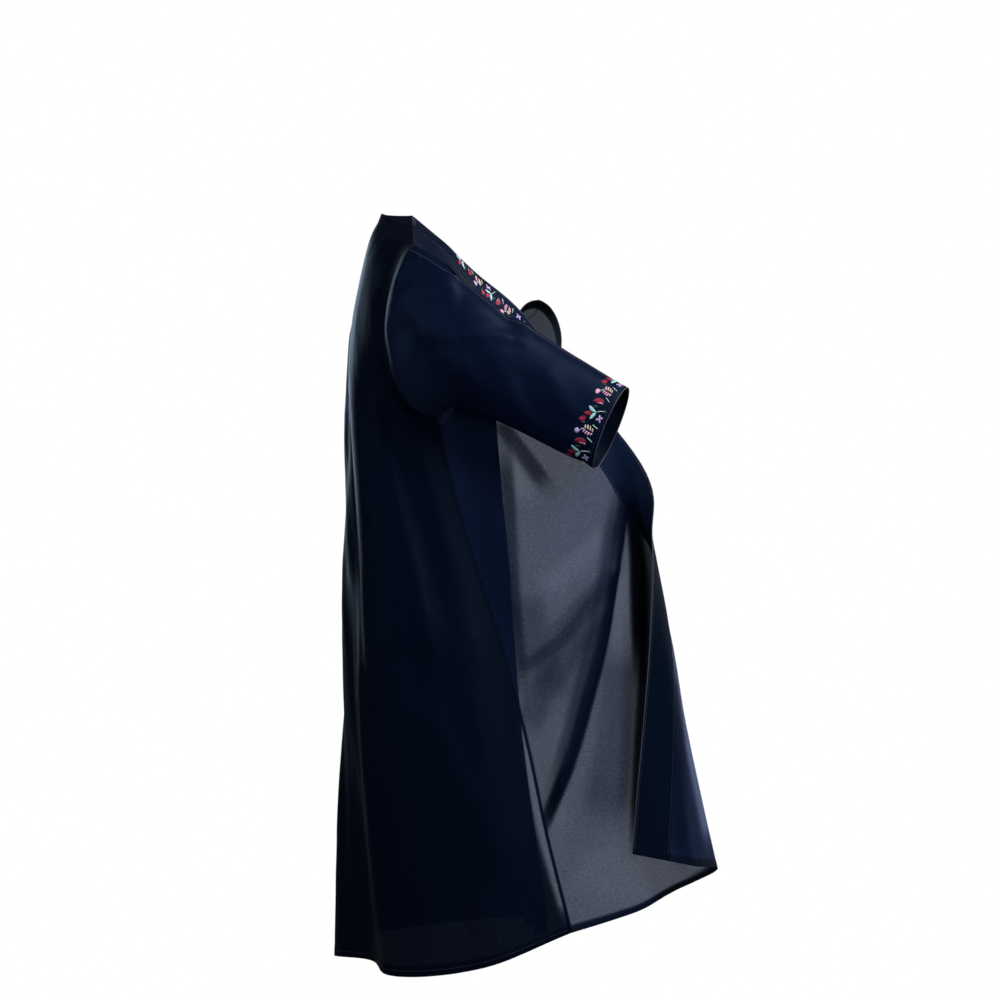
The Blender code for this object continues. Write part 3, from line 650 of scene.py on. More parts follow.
def join_seams(normals, side):
    """Give the front, back and sleeve of one side the same normals along the seams they share."""
    hole, column = ARMHOLE_STEPS, 0 if side == "right" else -1
    front, back, sleeve = normals["front_" + side], normals["back"], normals["sleeve_" + side]
    back_turn = -np.arange(hole + 1) % (2 * hole)
    tip, neck = on_shoulder(side, 2)
    ridge = unit(np.cross(neck - tip, (1.0, 0.0, 0.0)))
    ridge *= np.sign(ridge[2])
    top = mitred(ridge, sleeve[0, 0])
    underarm = mitred(front[hole, 0], back[hole, column], sleeve[0, hole])
    seam = mitred(front[hole:, 0], back[hole:, column])
    front_hole = mitred(front[:hole + 1, 0], sleeve[0, :hole + 1])
    back_hole = mitred(back[:hole + 1, column], sleeve[0, back_turn])
    front[hole:, 0] = back[hole:, column] = seam
    front[:hole + 1, 0] = sleeve[0, :hole + 1] = front_hole
    back[:hole + 1, column] = sleeve[0, back_turn] = back_hole
    front[hole, 0] = back[hole, column] = sleeve[0, hole] = underarm
    shoulder = slice(0, SHOULDER_STEPS + 1) if side == "right" else slice(-SHOULDER_STEPS - 1, None)
    front[0] = back[0, shoulder] = ridge
    front[0, 0] = back[0, column] = sleeve[0, 0] = top


normals = {name: normals_of(name, sheet) for name, sheet in sheets.items()}
for side in SIDES:
    join_seams(normals, side)
print("longest mitre: %.2f" % max(np.linalg.norm(n, axis=2).max() for n in normals.values()))

# %% [markdown]
# ## Hems and seam allowances
#
# The hem is turned up twice, so three layers lie on each other for 12 mm. Beside a side seam the
# allowances of both panels lie flat inside, which shows as a fine dark line through thin cloth. Both
# are given as a thickness and a number of layers at every point, from its distance to the edge.

# %% Thickness and layers near the edges
# Extra layers in a hem, in the allowances of a seam, behind the embroidery, where they also paint the shade
# inside the cuffs, and in a facing's fold
HEM_LAYERS, SEAM_LAYERS, BACKING_AND_SHADE_LAYERS, FOLD_LAYERS = 1.8, 2.4, 2.6, 0.9
HEM_SWELL = 1.1
SEAM_LINE = 0.0032
BLUR = 0.001


def dressed(name, sheet, layers):
    """Thickness and layers: more of each in the hem, allowances at the seams, and on the inner skin round
    the cuffs the backing of the embroidery, whose layers also paint the shade inside the cuffs."""
    across, down = cloth_coordinates(sheet)
    to_hem = down[-1:] - down
    to_seam = across if name.startswith("front") else from_seams(name, across, down)
    deep, allowance = (CUFF_HEM, SEAM_ALLOWANCE) if name in SLEEVES else (HEM_WIDTH, SEAM_LINE)
    hem = 1 - step_up(deep - BLUR, deep + BLUR, to_hem)
    layers = layers + HEM_LAYERS * hem + SEAM_LAYERS * (1 - step_up(1.2 * BLUR, allowance, to_seam))
    # On the inner skin near the cuff: the embroidery's backing, and painted shade inside the cuff.
    backing_and_cuff_shade = (1 - step_up(CUFF_BACKING - BLUR, CUFF_BACKING + 2 * BLUR, to_hem)) * (name in SLEEVES)
    return CLOTH * (1 + HEM_SWELL * hem), np.stack([layers, layers + BACKING_AND_SHADE_LAYERS * backing_and_cuff_shade])


# %% [markdown]
# ## From a sheet to a closed shell
#
# A thin shell has an outer skin, an inner skin and a rim that closes them. All three are rows of a
# grid, so their faces come from array slices, and the arrays go straight into the mesh. Every point
# also keeps its own cloth coordinates as a UV map and its number of layers as an attribute.

# %% Build a shell
def new_mesh(name, points, quads, uv=None, layers=None, sharp=60):
    """A mesh object from arrays of points and four-sided faces, which may repeat a corner."""
    mesh = bpy.data.meshes.new(name)
    mesh.vertices.add(len(points))
    mesh.vertices.foreach_set("co", points.astype(np.float32).ravel())
    mesh.loops.add(quads.size)
    mesh.loops.foreach_set("vertex_index", quads.astype(np.int32).ravel())
    mesh.polygons.add(len(quads))
    mesh.polygons.foreach_set("loop_start", np.arange(0, quads.size, quads.shape[1], dtype=np.int32))
    mesh.update(calc_edges=True)
    if uv is not None:
        layer = mesh.uv_layers.new(name="cloth")
        layer.data.foreach_set("uv", uv[quads.ravel()].astype(np.float32).ravel())
    if layers is not None:
        depth = mesh.attributes.new("layers", "FLOAT", "POINT")
        depth.data.foreach_set("value", layers.astype(np.float32))
    mesh.shade_smooth()
    mesh.set_sharp_from_angle(angle=math.radians(sharp))
    piece = bpy.data.objects.new(name, mesh)
    bpy.context.scene.collection.objects.link(piece)
    return piece


def grid_faces(index):
    """Four-sided faces of a grid of point numbers."""
    corners = [index[:-1, :-1], index[1:, :-1], index[1:, 1:], index[:-1, 1:]]
    return np.stack(corners, axis=-1).reshape(-1, 4)


def shell(name, sheet, normal, thick, layers, around=False, turned=False):
    """A closed thin shell: sheet plus and minus half its thickness along the normals, and its rim."""
    rows, columns = sheet.shape[:2]
    offset = normal * np.broadcast_to(thick, sheet.shape[:2])[..., None] / 2
    index = np.arange(rows * columns).reshape(rows, columns)
    if around:
        index = np.concatenate([index, index[:, :1]], axis=1)
    skin, far = grid_faces(index), rows * columns
    rims = [index[0], index[-1, ::-1]]
    if not around:
        rims += [index[::-1, 0], index[:, -1]]
    faces = [skin, skin[:, ::-1] + far]
    faces += [np.stack([rim[:-1], rim[1:], rim[1:] + far, rim[:-1] + far], axis=-1) for rim in rims]
    faces = np.concatenate(faces)
    if turned:
        faces = faces[:, ::-1]
    uv = np.stack(cloth_coordinates(sheet), axis=-1).reshape(-1, 2)
    points = np.stack([sheet + offset, sheet - offset]).reshape(-1, 3)
    return new_mesh(name, points, faces, np.tile(uv, (2, 1)), np.ravel(layers))


def drawn_back(sheets):
    """Every sheet pulled in by half the seam gap at its seams, so that neighbours don't touch."""
    for name, sheet in sheets.items():
        ends = [] if name.startswith("front") else [(sheet[0], sheet[1])]
        if name not in SLEEVES:
            ends.append((sheet[:, 0], sheet[:, 1]))
        if name == "back":
            ends.append((sheet[:, -1], sheet[:, -2]))
        for line, inner in ends:
            line += SEAM_GAP / 2 * unit(inner - line)


drawn_back(sheets)
panels, thick_of = {}, {}
for name, sheet in sheets.items():
    thick_of[name], layers_of[name] = dressed(name, sheet, layers_of[name])
    panels[name] = shell(name + "_cloth", sheet, normals[name], thick_of[name], layers_of[name],
                         around=name in SLEEVES, turned=name in TURNED)
    print(panels[name].name, "faces:", len(panels[name].data.polygons))

# %% [markdown]
# ## The facings
#
# A facing is a strip that is sewn behind a raw front edge and turned to the inside. On the held
# front, which rolls back, it shows as a band about 7 cm wide along the free edge. It is made from the
# panel's own points, moved inwards, so it follows every fold of the panel.

# %% Facings behind the two free edges
facings = {}
for side in SIDES:
    name = "front_" + side
    strip = (slice(2, None), slice(-FACING_STEPS - 1, None))
    depth = (thick_of[name] + FACING_CLOTH) / 2 + FACING_GAP
    middle = (sheets[name] - normals[name] * depth[..., None])[strip]
    fold = 1 - step_up(BLUR, 4 * BLUR, cloth_coordinates(middle)[0])
    facings[side] = shell("facing_" + side, middle, normals[name][strip], FACING_CLOTH,
                          np.stack([1 + FOLD_LAYERS * fold] * 2), turned=name in TURNED)
    print(facings[side].name, "faces:", len(facings[side].data.polygons))

# %% [markdown]
# ## Places on the cloth
#
# Stitches and embroidery lie on a panel wherever it goes. A place is given in the cloth's own metres,
# s along an edge and t in from it, and is turned into a row and a column of the panel's grid. Mixing
# the four grid points around it gives its position and normal.

# %% Read a panel between its grid points
Ground = namedtuple("Ground", "points normals row_of column_of around")


def read_grid(grid, row, column, around):
    """Bilinear mix of the four grid values around a fractional row and column."""
    rows, columns = grid.shape[:2]
    r0 = np.clip(np.floor(row).astype(int), 0, rows - 2)
    c0 = np.floor(column).astype(int)
    if not around:
        c0 = np.clip(c0, 0, columns - 2)
    fr, fc = (row - r0)[..., None], (column - c0)[..., None]
    c1 = (c0 + 1) % columns
    c0 = c0 % columns
    top = grid[r0, c0] * (1 - fc) + grid[r0, c1] * fc
    low = grid[r0 + 1, c0] * (1 - fc) + grid[r0 + 1, c1] * fc
    return top * (1 - fr) + low * fr


def place(ground, s, t, lift=0.0):
    """Points at s along the edge and t in from it, raised by lift from the outer skin."""
    row, column = ground.row_of(s, t), ground.column_of(s, t)
    normal = read_grid(ground.normals, row, column, ground.around)
    return read_grid(ground.points, row, column, ground.around) + normal * np.asarray(lift)[..., None]


def hem_ground(name, thick):
    """s runs along the hem from the first column, or round a cuff from its top, and t up from it."""
    sheet, around = sheets[name], name in SLEEVES
    run = lengths(np.concatenate([sheet[-1], sheet[-1, :1]]) if around else sheet[-1])
    up = running(np.linalg.norm(np.diff(sheet[::-1], axis=0), axis=2).mean(axis=1))
    outer = sheet + normals[name] * np.broadcast_to(thick, sheet.shape[:2])[..., None] / 2
    return Ground(outer, normals[name], lambda s, t: len(up) - 1 - np.interp(t, up, np.arange(len(up))),
                  lambda s, t: np.interp(s % run[-1], run, np.arange(len(run))), around), run[-1]


def front_ground(name, face=1):
    """s runs down the free edge from the shoulder, t in from it. face is -1 for the inner side."""
    sheet = sheets[name]
    edge = lengths(sheet[:, -1])
    last = sheet.shape[1] - 1
    skin = CLOTH / 2 if face > 0 else CLOTH / 2 + FACING_GAP + FACING_CLOTH
    outer = sheet + face * normals[name] * skin
    return Ground(outer, face * normals[name], lambda s, t: np.interp(s, edge, np.arange(len(edge))),
                  lambda s, t: last - t / FACING_WIDTH * FACING_STEPS, False), edge[-1]


print("round a cuff: %.3f m" % hem_ground("sleeve_right", CLOTH)[1])

# %% [markdown]
# ## Stitches
#
# A sewing machine leaves a row of short threads, each about 3 mm long, that sink into the cloth at
# both ends. Each is an octahedron drawn out along the seam: six points and eight faces, so that even
# a thousand of them stay light. All the stitches of a panel are one mesh.

# %% Rows of stitches
STITCH_PITCH = 0.0034
STITCH_LENGTH = 0.0026
STITCH_RADIUS = 0.00038
# How far in from a hem's fold, from a free edge and from a facing's edge the rows run
BELOW_FOLD, BESIDE_EDGE, BESIDE_FACING = 0.0015, 0.0035, 0.003
HEM_START, EDGE_START = 0.004, 0.01


def stitches(name, runs):
    """One mesh of stitches. A run is a ground, where it starts and ends along it, and how far in."""
    points = []
    for ground, start, end, inset in runs:
        s = np.arange(start, end, STITCH_PITCH)
        t = np.full(len(s), inset)
        head, tail = place(ground, s, t), place(ground, s + STITCH_LENGTH, t)
        up = place(ground, s, t, 1.0) - head
        high, wide = up * STITCH_RADIUS, np.cross(unit(tail - head), up) * STITCH_RADIUS
        middle = (head + tail) / 2 + 0.6 * high
        corners = [head, middle + high, middle + wide, middle - high, middle - wide, tail]
        points.append(np.stack(corners, axis=1))
    points = np.concatenate(points)
    around = ((1, 2), (2, 3), (3, 4), (4, 1))
    faces = np.array([(0, b, a) for a, b in around] + [(5, a, b) for a, b in around])
    faces = faces[None] + 6 * np.arange(len(points))[:, None, None]
    return new_mesh(name, points.reshape(-1, 3), faces.reshape(-1, 3), sharp=80)


stitch_rows = {}
for name in panels:
    ground, run = hem_ground(name, thick_of[name])
    fold = CUFF_HEM if name in SLEEVES else HEM_WIDTH
    runs = [(ground, HEM_START, run - HEM_START, fold - BELOW_FOLD)]
    for face in (1, -1) if name.startswith("front") else ():
        edge, run = front_ground(name, face)
        for inset in (BESIDE_EDGE, FACING_WIDTH - BESIDE_FACING):
            runs.append((edge, EDGE_START, run - EDGE_START, inset))
    stitch_rows[name] = stitches(name + "_stitches", runs)
    print(stitch_rows[name].name, "stitches:", len(stitch_rows[name].data.vertices) // 6)

# %% [markdown]
# ## Rolled edges
#
# The free front edges and the cuff rims are folded over a fine cord of thread. Its folded edge catches the
# light as a thin line, which the cord's mauve colour, lighter than the cloth, paints as a highlight. Each is
# a tube of eight sides carried along the edge of its panel. A finer one runs down the top of each sleeve,
# where its cloth is joined, with the same painted highlight.

# %% Tubes along the free edges
EDGE_RADIUS = 0.0011
TOP_SEAM_RADIUS = 0.0007
TOP_SEAM_COLUMN = -4


def rolled_edge(name, line, out, closed=False, radius=EDGE_RADIUS):
    """Tube: line + radius * (cos(angle) out + sin(angle) inward), with a fan at each open end."""
    sides = 8
    along = np.roll(line, -1, 0) - np.roll(line, 1, 0) if closed else np.gradient(line, axis=0)
    inward = unit(np.cross(along, out))
    angle = 2 * math.pi * np.arange(sides) / sides
    ring = np.cos(angle)[:, None] * out[:, None] + np.sin(angle)[:, None] * inward[:, None]
    points = (line[:, None] + radius * ring).reshape(-1, 3)
    index = np.arange(len(points)).reshape(-1, sides)
    if closed:
        index = np.concatenate([index, index[:1]])
    index = np.concatenate([index, index[:, :1]], axis=1)
    faces = [grid_faces(index)[:, ::-1]]
    if not closed:
        for end, order in ((index[0], 1), (index[-1], -1)):
            cap = np.array([(end[0], end[a], end[a + 1], end[a + 2]) for a in (1, 3, 5)])
            faces.append(cap[:, ::-order])
    tube = new_mesh(name, points, np.concatenate(faces))
    print(name, "metres of edge: %.2f" % lengths(line)[-1])
    return tube


rolls, top_seams = {}, {}
for side in SIDES:
    name, thin = "front_" + side, slice(1, None, 2)
    out = unit(normals[name][thin, -1])
    line = sheets[name][thin, -1] - out * (FACING_CLOTH + FACING_GAP) / 2
    rolls[name] = rolled_edge("edge_front_" + side, line, out)
    name = "sleeve_" + side
    rolls[name] = rolled_edge("edge_cuff_" + side, sheets[name][-1], unit(normals[name][-1]), closed=True)
    top_seams[name] = rolled_edge("top_seam_" + side, sheets[name][6:, TOP_SEAM_COLUMN],
                                  unit(normals[name][6:, TOP_SEAM_COLUMN]), radius=TOP_SEAM_RADIUS)

# %% [markdown]
# ## Embroidery
#
# The band is satin stitch: threads laid side by side across each petal, leaf or bud until it stands up
# as a soft cushion. One formula serves them all. A patch runs from a base to a tip, its half width is
# (4 p (1 - p)) raised to a fullness, and it is domed across. A high fullness gives a leaf, a low one a
# bar, and one half an oval. The table holds one repeat of the band, in millimetres: s along the edge
# and t in from it.

# %% One repeat of the band
Patch = namedtuple("Patch", "thread s0 t0 s1 t1 width fullness bend swell", defaults=(0, 1))
REPEAT = 0.071
MOTIFS = (
    Patch("ball", -1.5, 56.5, 7.5, 56.5, 9, 0.5),
    Patch("mint", 4.5, 52, 12, 45.5, 1.3, 0.25, 0.12),
    Patch("pink", 5, 46, 10.5, 43.5, 3, 0.3, 0.1),
    Patch("pink", 3.6, 41.5, 10, 38.6, 3.1, 0.3, 0.1),
    Patch("pink", 3.6, 36.6, 10, 33.8, 3.1, 0.3, 0.1),
    Patch("pink", 5.4, 31.6, 10.5, 29.4, 2.8, 0.3, 0.1),
    Patch("peach", 18, 46.4, 12.4, 43.6, 3, 0.3, -0.1),
    Patch("peach", 19.8, 41.8, 12.8, 38.8, 3.1, 0.3, -0.1),
    Patch("peach", 19.8, 36.8, 12.8, 34, 3.1, 0.3, -0.1),
    Patch("peach", 18.2, 31.8, 12.6, 29.6, 2.8, 0.3, -0.1),
    Patch("mint", 1, 36, -3, 24, 1.5, 0.25),
    Patch("mint", 23, 35, 21, 22.5, 1.5, 0.25),
    Patch("red", 26, 51, 21.5, 62.5, 8.5, 0.6, 0.05, 0.85),
    Patch("dark_red", 28, 50.5, 26.4, 60.6, 4, 0.7, swell=0.9),
    Patch("green", 22, 48, 18.6, 56, 3.4, 0.85, 0.1),
    Patch("red", 37, 45, 33, 59, 8, 0.62, -0.06, 0.8),
    Patch("dark_red", 39, 44.5, 37.6, 55, 3.6, 0.7, swell=0.9),
    Patch("aqua", 43, 38.5, 47, 56.5, 6.6, 0.8, 0.06),
    Patch("aqua", 42, 38, 28.5, 43.5, 6.4, 0.8, -0.08),
    Patch("mint", 42.5, 39.5, 51, 21, 1.3, 0.25, 0.1),
    Patch("lilac", 36, 29, 32.4, 33.6, 4.2, 0.5),
    Patch("lilac", 37, 28, 42.4, 30.2, 4.2, 0.5),
    Patch("lilac", 36, 27, 31.2, 24.4, 4, 0.5),
    Patch("lilac", 37.2, 26.6, 40.6, 22.4, 4, 0.5),
    Patch("pink", 35.4, 27.9, 37.8, 27.9, 2.2, 0.5),
    Patch("red", 63, 34, 57, 54, 9.5, 0.62, -0.1, 0.85),
    Patch("dark_red", 65.5, 35, 62.5, 50, 4.4, 0.7, -0.06),
    Patch("pink", 60, 33, 57, 46, 2, 0.6, -0.08),
    Patch("green", 53, 40, 50, 50, 4, 0.85, 0.08),
    Patch("green", 55, 26, 48.5, 20.5, 3.2, 0.85),
)
THREADS = {
    "red": (0.300, 0.002, 0.034),
    "dark_red": (0.140, 0.001, 0.018),
    "aqua": (0.360, 0.640, 0.640),
    "mint": (0.560, 0.760, 0.700),
    "lilac": (0.520, 0.370, 0.700),
    "pink": (0.800, 0.370, 0.480),
    "peach": (0.860, 0.560, 0.440),
    "green": (0.006, 0.045, 0.035),
}
THREAD_ORDER = tuple(THREADS)
PATCH_STEPS = (9, 5)
PATCH_HEIGHT = 0.0009
PATCH_ROOT = -0.0002
PATCH_DEEP = 0.0001
# Where a band starts along its edge, how far it is moved towards the edge, and its size on a front
CUFF_START, CUFF_LOWER = 0.026, 0.014
FRONT_START, FRONT_STEP, FRONT_LOWER, FRONT_FIRST = 0.063, 0.082, 0.013, 0.100
FRONT_REPEATS, FRONT_SCALE = 4, 1.15
print("patches in a repeat:", len(MOTIFS))


# %% Sew the band on a panel
def embroidery(name, ground, start, repeats, step, scale, lower, first=0.0):
    """All patches of a band as closed lens shapes: the dome above and a flat root in the cloth. The
    band is moved towards the edge by lower, and patches that start before first are left out."""
    rows, columns = PATCH_STEPS
    p, q = np.linspace(0.02, 0.98, rows)[:, None], np.linspace(-1, 1, columns)[None, :]
    column = lambda field: np.array([getattr(m, field) for m in MOTIFS], float)[None, :, None, None]
    shift = (start + step * np.arange(repeats))[:, None, None, None]
    s0, s1 = [column(f) / 1000 * scale[0] for f in ("s0", "s1")]
    t0, t1 = [column(f) / 1000 * scale[1] for f in ("t0", "t1")]
    long = np.hypot(s1 - s0, t1 - t0)
    along_s, along_t = (s1 - s0) / long, (t1 - t0) / long
    swell = p ** column("swell")
    belly = np.clip(4 * swell * (1 - swell), 0, 1)
    half = column("width") / 2000 * max(scale) * belly ** column("fullness") * q
    off = half + column("bend") * long * 4 * p * (1 - p)
    s = shift + s0 + along_s * long * p - along_t * off
    t = t0 - lower + along_t * long * p + along_s * off
    sewn = (shift + s0 >= first).ravel()
    dome = PATCH_HEIGHT * np.sqrt(np.clip(1 - q * q, 0, 1)) * belly ** 0.3
    pick = lambda a: np.broadcast_to(a, s.shape).reshape(-1, rows, columns)[sewn]
    half, long, t, dome, s = [pick(a) for a in (half, long * p, t, dome, s)]
    top, root = place(ground, s, t, PATCH_ROOT + dome), place(ground, s, t, PATCH_ROOT - PATCH_DEEP)
    count = len(s)
    index = np.arange(rows * columns).reshape(rows, columns)
    face, far = grid_faces(index), rows * columns
    border = np.concatenate([index[0, :-1], index[:-1, -1], index[-1, :0:-1], index[:0:-1, 0]])
    after = np.roll(border, -1)
    rim = np.stack([border, after, after + far, border + far], axis=-1)
    one = np.concatenate([face, face[:, ::-1] + far, rim])
    points = np.stack([top.reshape(count, -1, 3), root.reshape(count, -1, 3)], axis=1).reshape(-1, 3)
    corner = top[..., 1:, 1:, :]
    facing_out = np.cross(corner - top[..., :-1, 1:, :], corner - top[..., 1:, :-1, :])
    if np.sum(facing_out * (corner - root[..., 1:, 1:, :])) < 0:
        one = one[:, ::-1]
    faces = (one[None] + 2 * far * np.arange(count)[:, None, None]).reshape(-1, 4)
    uv = np.stack([half.reshape(count, 1, -1), long.reshape(count, 1, -1)], axis=-1)
    uv = np.tile(uv, (1, 2, 1, 1)).reshape(-1, 2)
    band = new_mesh(name, points, faces, uv, sharp=80)
    ball = [THREAD_ORDER.index("lilac" if k % 2 else "pink") for k in range(repeats)]
    thread = np.array([[ball[k] if m.thread == "ball" else THREAD_ORDER.index(m.thread) for m in MOTIFS]
                       for k in range(repeats)]).ravel()[sewn]
    band.data.polygons.foreach_set("material_index", np.repeat(thread, len(one)).astype(np.int32))
    print(name, "patches:", count, "faces:", len(faces))
    return band


bands = {}
for side in SIDES:
    ground, around = hem_ground("sleeve_" + side, CLOTH)
    repeats = round(around / REPEAT)
    step = around / repeats
    bands["sleeve_" + side] = embroidery("embroidery_cuff_" + side, ground, CUFF_START, repeats, step,
                                         (step / REPEAT, 1.0), CUFF_LOWER)
    ground, run = front_ground("front_" + side)
    bands["front_" + side] = embroidery("embroidery_front_" + side, ground, FRONT_START, FRONT_REPEATS,
                                        FRONT_STEP, (FRONT_SCALE,) * 2, FRONT_LOWER, FRONT_FIRST)

# %% [markdown]
# ## Materials
#
# A material is a graph of small sums. Writing them with + and * keeps them readable, so one small
# class wraps a node's output and adds a Math node for every operator.

# %% Shader sums
class Field:
    """A value that changes over a surface: one output of a shader node."""

    def __init__(self, tree, socket=None):
        self.tree, self.socket = tree, socket

    def node(self, kind, settings=None, inputs=None, output=0):
        """Add a node with its settings first and then its inputs, and give one of its outputs."""
        node = self.tree.nodes.new(kind)
        for key, value in (settings or {}).items():
            setattr(node, key, value)
        for key, value in (inputs or {}).items():
            if isinstance(value, Field):
                self.tree.links.new(value.socket, node.inputs[key])
            else:
                node.inputs[key].default_value = value
        return Field(self.tree, node.outputs[output])

    def math(self, operation, *values):
        return self.node("ShaderNodeMath", {"operation": operation}, dict(enumerate(values)))

    def __add__(self, other):
        return self.math("ADD", self, other)

    def __sub__(self, other):
        return self.math("SUBTRACT", self, other)

    def __rsub__(self, other):
        return self.math("SUBTRACT", other, self)

    def __mul__(self, other):
        return self.math("MULTIPLY", self, other)

    def __pow__(self, other):
        return self.math("POWER", self, other)

    def __rpow__(self, other):
        return self.math("POWER", other, self)

    __radd__, __rmul__ = __add__, __mul__

    def between(self, low, high):
        """Colour that goes from low to high as this value goes from 0 to 1."""
        mix = {"data_type": "RGBA"}
        return self.node("ShaderNodeMix", mix, {"Factor": self, 6: (*low, 1), 7: (*high, 1)}, 2)

    def noise(self, scale, **more):
        """Uneven spots, as many to a metre as scale says, in the piece's own coordinates."""
        where = self.node("ShaderNodeTexCoord", output=3)
        return self.node("ShaderNodeTexNoise", None, {"Vector": where, "Scale": scale, **more})

    def bump(self, strength, distance):
        """Normals of a surface that is raised and dented by this value."""
        inputs = {"Strength": strength, "Distance": distance, "Height": self}
        return self.node("ShaderNodeBump", None, inputs)

    def shown(self, kind="ShaderNodeOutputMaterial"):
        """Link this surface to the output of its tree."""
        self.tree.links.new(self.socket, self.tree.nodes.new(kind).inputs["Surface"])


def new_material(name):
    """An empty material and its sum maker."""
    material = bpy.data.materials.new(name)
    material.use_nodes = True
    material.node_tree.nodes.clear()
    return material, Field(material.node_tree)


def times(colour, factor):
    """A colour scaled, none of it above 1."""
    return tuple(min(1.0, factor * c) for c in colour)


def principled(make, colour, rough, normal=None, **constants):
    """A Principled surface. Its constants are set on its own sockets."""
    inputs = {"Base Color": colour, "Roughness": rough}
    if normal:
        inputs["Normal"] = normal
    inputs.update({key.replace("_", " "): value for key, value in constants.items()})
    return make.node("ShaderNodeBsdfPrincipled", None, inputs)


# %% [markdown]
# ### Crepe
#
# Crepe is woven from threads twisted so hard that the cloth puckers into a fine grain. It is black, but
# thin: white light from behind comes through one layer as blue-grey and hardly at all through two. Each skin
# of a shell lets a share of the light through, and where the cloth lies more layers deep the share is raised
# to that power. Its colour is divided by the layers too, as less light comes back out of deep cloth. The
# layers also hold painted shade, from the crease stacks and inside the cuffs, and painted light where a
# stack is negative, so this division paints them into the colour. The back has its own copy of the crepe
# with a darker colour, which is painted shade. The grain changes the share a little from spot to spot, and
# it also dents the surface, which breaks up its shine.

# %% The crepe and the facing's cloth
SKIN_TINT = (0.84, 0.89, 1.0)
SHINE_TINT = (0.40, 0.62, 1.0)
SKIN_OPACITY = 0.711
GRAIN = 0.22


def crepe(name, opacity, colour, rough, level):
    """Opacity = 1 - (1 - opacity) ^ (layers * (1 + grain)), over a dark satin surface whose colour is
    divided by its layers, which paints in the shade and light that the layers hold."""
    material, make = new_material(name)
    fine, slub = make.noise(1100.0, Detail=1.0), make.noise(420.0, Detail=1.0)
    grain = (fine - 0.5) * 1.1 + (slub - 0.5) * 0.7
    layers = make.node("ShaderNodeAttribute", {"attribute_name": "layers"}, output=2)
    share = 1 - (1 - opacity) ** (layers * (1 + grain * GRAIN * 4))
    weave = (fine * 0.7 + slub * 0.3).between(times(colour, 0.7), times(colour, 1.3))
    shade = make.node("ShaderNodeVectorMath", {"operation": "SCALE"}, {0: weave, "Scale": layers ** -1.0})
    cloth = principled(make, shade, rough + grain * 0.10, grain.bump(0.55, 0.0004),
                       Specular_IOR_Level=level, Specular_Tint=(*SHINE_TINT, 1))
    clear = make.node("ShaderNodeBsdfTransparent", None, {"Color": (*SKIN_TINT, 1)})
    make.node("ShaderNodeMixShader", None, {0: share, 1: clear, 2: cloth}).shown()
    return material


crepe_cloth = crepe("black_crepe", SKIN_OPACITY, (0.0030, 0.0078, 0.0272), 0.46, 0.08)
# The back's copy of the crepe is darker in colour: painted shade on the back, which lies in shadow.
back_crepe_painted_shade = crepe("black_crepe_painted_shade_back", SKIN_OPACITY, (0.0016, 0.0052, 0.0185), 0.56, 0.05)
facing_cloth = crepe("matt_facing", 0.80, (0.0007, 0.0030, 0.0095), 0.64, 0.05)
print("one layer lets through: %.3f" % ((1 - SKIN_OPACITY) ** 2))

# %% [markdown]
# ### Threads
#
# Embroidery thread is glossy and lies in parallel lines across each petal. A wave along the patch gives the
# ridges, and in the colour it paints shade in the hollows and sheen on the crests. The sewing thread and the
# rolled edges are duller. The rolled edges are a mauve black, a painted highlight.

# %% Threads
THREAD_PITCH = 0.00045


def thread(name, colour):
    """Parallel ridges across a patch: a sine wave along its length, in its own UV metres."""
    material, make = new_material(name)
    uv = make.node("ShaderNodeUVMap", {"uv_map": "cloth"})
    wave = make.node("ShaderNodeTexWave", {"bands_direction": "Y"},
                     {"Vector": uv, "Scale": 0.314 / THREAD_PITCH, "Distortion": 0.6, "Detail": 1.0})
    worn = make.noise(260.0)
    # Painted sheen on the thread crests, lighter than the thread's colour so that even dark silk shines; the
    # wave paints shade between them.
    crest_painted_sheen = times([c + 0.0032 for c in colour], 1.25)
    shade = (wave * 0.55 + worn * 0.45).between(times(colour, 0.5), crest_painted_sheen)
    principled(make, shade, 0.42 + worn * 0.12, wave.bump(0.5, 0.0003), Specular_IOR_Level=0.3).shown()
    return material


def plain_thread(name, colour):
    """Twisted thread that is too fine to draw: a little noise on one colour."""
    material, make = new_material(name)
    twist = make.noise(900.0)
    principled(make, twist.between(times(colour, 0.75), times(colour, 1.25)), 0.5 + twist * 0.1).shown()
    return material


silks = [thread("silk_" + name, colour) for name, colour in THREADS.items()]
sewing = plain_thread("sewing_thread", (0.048, 0.052, 0.095))
# The mauve of the rolled edges and top seams, lighter than the cloth, is a painted highlight.
edge_cord_painted_highlight = plain_thread("rolled_edge_painted_highlight", (0.017, 0.016, 0.036))


def paint(pieces, *materials):
    """Give every piece the materials, in this order."""
    for piece in pieces:
        for material in materials:
            piece.data.materials.append(material)


for name, piece in panels.items():
    paint([piece], back_crepe_painted_shade if name == "back" else crepe_cloth)
paint(facings.values(), facing_cloth)
paint(stitch_rows.values(), sewing)
paint([*rolls.values(), *top_seams.values()], edge_cord_painted_highlight)
paint(bands.values(), *silks)
print("materials:", len(bpy.data.materials))

# %% [markdown]
# ## What each piece stands for
#
# Each finished panel replaces its solid. Stitches, rolled edges and embroidery ride with the garment and are
# named with the sheet they are sewn to.

def dress(piece, slot):
    """Let a piece ride with the garment. slot is not used."""
    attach(piece, "root")


for name, piece in panels.items():
    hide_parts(name)
    extras = [part[name] for part in (stitch_rows, rolls, top_seams, bands) if name in part]
    for item in [piece, *extras]:
        dress(item, "crepe_sleeve" if name in SLEEVES else "crepe")
for side, piece in facings.items():
    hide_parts("front_facing_" + side)
    dress(piece, "facing")
    edge = lengths(sheets["front_" + side][2:, -1])[-1]
print("sheets declared:", len(panels) + len(facings))

